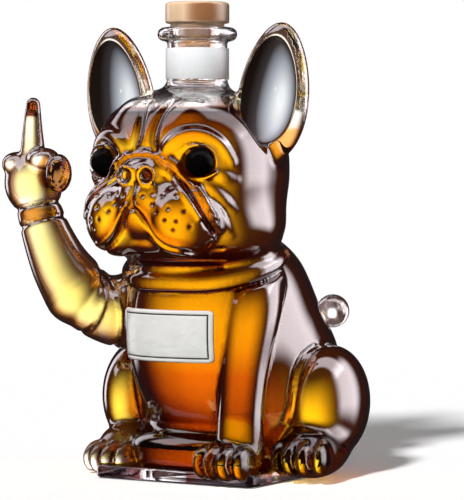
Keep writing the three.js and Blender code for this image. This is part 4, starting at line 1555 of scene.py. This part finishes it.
def build_world():
    world = bpy.data.worlds.new("studio")
    bpy.context.scene.world = world
    world.use_nodes = True
    tree = world.node_tree
    tree.nodes.clear()
    link = tree.links.new
    output = node(tree, "ShaderNodeOutputWorld")
    mix = node(tree, "ShaderNodeMixShader")
    seen = node(tree, "ShaderNodeBackground")
    lit = node(tree, "ShaderNodeBackground")
    path = node(tree, "ShaderNodeLightPath")
    place = node(tree, "ShaderNodeTexCoord")
    set_inputs(seen, Color=(1, 1, 1, 1), Strength=1.0)
    direction = place.outputs["Generated"]
    through = panel_sum(tree, direction, BACKDROP_PANELS, 0.0)
    mirrored_light = panel_sum(tree, direction, SOFT_BOXES, SOFT_BOX_AMBIENT)
    other = add_math(tree, "SUBTRACT", 1.0, add_math(tree, "MAXIMUM", path.outputs["Is Glossy Ray"],
                                                    path.outputs["Is Transmission Ray"]))
    total = add_math(tree, "MULTIPLY", other, GLOW)
    total = add_math(tree, "MULTIPLY_ADD", path.outputs["Is Transmission Ray"], through, total)
    gloss = add_math(tree, "MULTIPLY", path.outputs["Is Glossy Ray"], mirrored_light)
    combine = node(tree, "ShaderNodeCombineColor")
    for channel, ambient, lilac in zip(combine.inputs, BACKDROP_AMBIENT, SOFT_BOX_TINT):
        part = add_math(tree, "MULTIPLY_ADD", path.outputs["Is Transmission Ray"], ambient, total)
        link(add_math(tree, "MULTIPLY_ADD", gloss, lilac, part), channel)
    link(combine.outputs[0], lit.inputs["Color"])
    link(path.outputs["Is Camera Ray"], mix.inputs[0])
    link(lit.outputs[0], mix.inputs[1])
    link(seen.outputs[0], mix.inputs[2])
    link(mix.outputs[0], output.inputs[0])


def build_floor():
    """A round white table top that fades out at its edge and is open to what glass and metal see."""
    count = 96
    mesh = bpy.data.meshes.new("table_top")
    rim = [(TABLE_RADIUS * math.cos(a), TABLE_RADIUS * math.sin(a), -TABLE_DROP)
           for a in np.linspace(0, 2 * math.pi, count, endpoint=False)]
    mesh.from_pydata(rim, [], [tuple(range(count))])
    material, tree, shader = new_material("table_white")
    set_inputs(shader, Roughness=0.9, Specular_IOR_Level=0.0, Emission_Color=(1, 1, 1, 1))
    link = tree.links.new
    path = node(tree, "ShaderNodeLightPath")
    link(add_mix(tree, path.outputs["Is Camera Ray"], TABLE_DIM, TABLE_WHITE), shader.inputs["Base Color"])
    link(add_math(tree, "MULTIPLY", path.outputs["Is Camera Ray"], TABLE_LIFT), shader.inputs["Emission Strength"])
    place = node(tree, "ShaderNodeTexCoord")
    reach = node(tree, "ShaderNodeVectorMath", operation="LENGTH")
    link(place.outputs["Object"], reach.inputs[0])
    fade = add_fade(tree, reach.outputs["Value"], *(TABLE_RADIUS * share for share in TABLE_FADE), 1, 0)
    by_glass = add_math(tree, "MAXIMUM", path.outputs["Is Transmission Ray"], path.outputs["Is Glossy Ray"])
    not_by_glass = add_math(tree, "SUBTRACT", 1.0, by_glass)
    link(add_math(tree, "MULTIPLY", fade, not_by_glass), shader.inputs["Alpha"])
    placed("table_top", mesh, material)


def build_lamp(name, azimuth, elevation, strength, spread):
    lamp = bpy.data.lights.new(name, "SUN")
    lamp.energy = strength
    lamp.angle = math.radians(spread)
    holder = bpy.data.objects.new(name, lamp)
    towards = sky_direction(azimuth, elevation)
    holder.location = towards
    holder.rotation_mode = "QUATERNION"
    holder.rotation_quaternion = (-towards).to_track_quat("-Z", "Y")
    holder.visible_glossy = False
    bpy.context.scene.collection.objects.link(holder)


def build_camera(studio):
    camera = bpy.data.cameras.new("photo_camera")
    holder = bpy.data.objects.new("photo_camera", camera)
    bpy.context.scene.collection.objects.link(holder)
    bpy.context.scene.camera = holder
    eye = Vector((math.sin(studio.azimuth) * studio.distance, -math.cos(studio.azimuth) * studio.distance,
                  studio.eye_height))
    right = Vector((math.cos(studio.azimuth), math.sin(studio.azimuth), 0))
    target = Vector((0, 0, studio.eye_height)) + right * ((FRAME_WIDTH / 2 - AXIS_COLUMN) / PIXELS_PER_METRE)
    target.z -= (FRAME_HEIGHT / 2 - HORIZON_ROW) / PIXELS_PER_METRE
    camera.sensor_fit = "VERTICAL"
    camera.sensor_height = 24
    camera.lens = 12 / (FRAME_HEIGHT / 2 / PIXELS_PER_METRE / studio.distance)
    holder.location = eye
    holder.rotation_mode = "QUATERNION"
    holder.rotation_quaternion = (target - eye).to_track_quat("-Z", "Y")


class DECANTER_OT_stage(bpy.types.Operator):
    """Set up the white table, the soft studio light and the camera"""
    bl_idname = "decanter.stage"
    bl_label = "Stage"

    def execute(self, context):
        build_world()
        build_floor()
        build_lamp("key_lamp", *KEY_LAMP)
        build_camera(context.scene.studio)
        scene = context.scene
        scene.view_settings.view_transform = "Standard"
        scene.cycles.max_bounces = 32
        scene.cycles.transmission_bounces = 32
        scene.cycles.glossy_bounces = 8
        scene.cycles.transparent_max_bounces = 24
        return {"FINISHED"}


class DECANTER_PT_panel(bpy.types.Panel):
    """Lists the decanter's settings and pieces"""
    bl_idname = "DECANTER_PT_panel"
    bl_label = "Decanter"
    bl_space_type = "VIEW_3D"
    bl_region_type = "UI"
    bl_category = "Decanter"

    def draw(self, context):
        layout = self.layout
        for group in (context.scene.decanter, context.scene.studio):
            for key in group.__annotations__:
                layout.prop(group, key)
        for operator in OPERATORS:
            layout.operator(operator.bl_idname)


OPERATORS = (
    DECANTER_OT_glass_dog,
    DECANTER_OT_whisky,
    DECANTER_OT_eyes,
    DECANTER_OT_ear_linings,
    DECANTER_OT_base,
    DECANTER_OT_stopper,
    DECANTER_OT_neck_band,
    DECANTER_OT_label,
    DECANTER_OT_stage,
)
CLASSES = (DecanterSettings, StudioSettings) + OPERATORS + (DECANTER_PT_panel,)


def register():
    for cls in CLASSES:
        bpy.utils.register_class(cls)
    bpy.types.Scene.decanter = PointerProperty(type=DecanterSettings)
    bpy.types.Scene.studio = PointerProperty(type=StudioSettings)


def unregister():
    del bpy.types.Scene.studio
    del bpy.types.Scene.decanter
    for cls in reversed(CLASSES):
        bpy.utils.unregister_class(cls)


def main():
    register()
    bpy.ops.decanter.glass_dog()
    bpy.ops.decanter.whisky()
    bpy.ops.decanter.eyes()
    bpy.ops.decanter.ear_linings()
    bpy.ops.decanter.base()
    bpy.ops.decanter.stopper()
    bpy.ops.decanter.neck_band()
    bpy.ops.decanter.label()
    bpy.ops.decanter.stage()


if __name__ == "__main__":
    main()
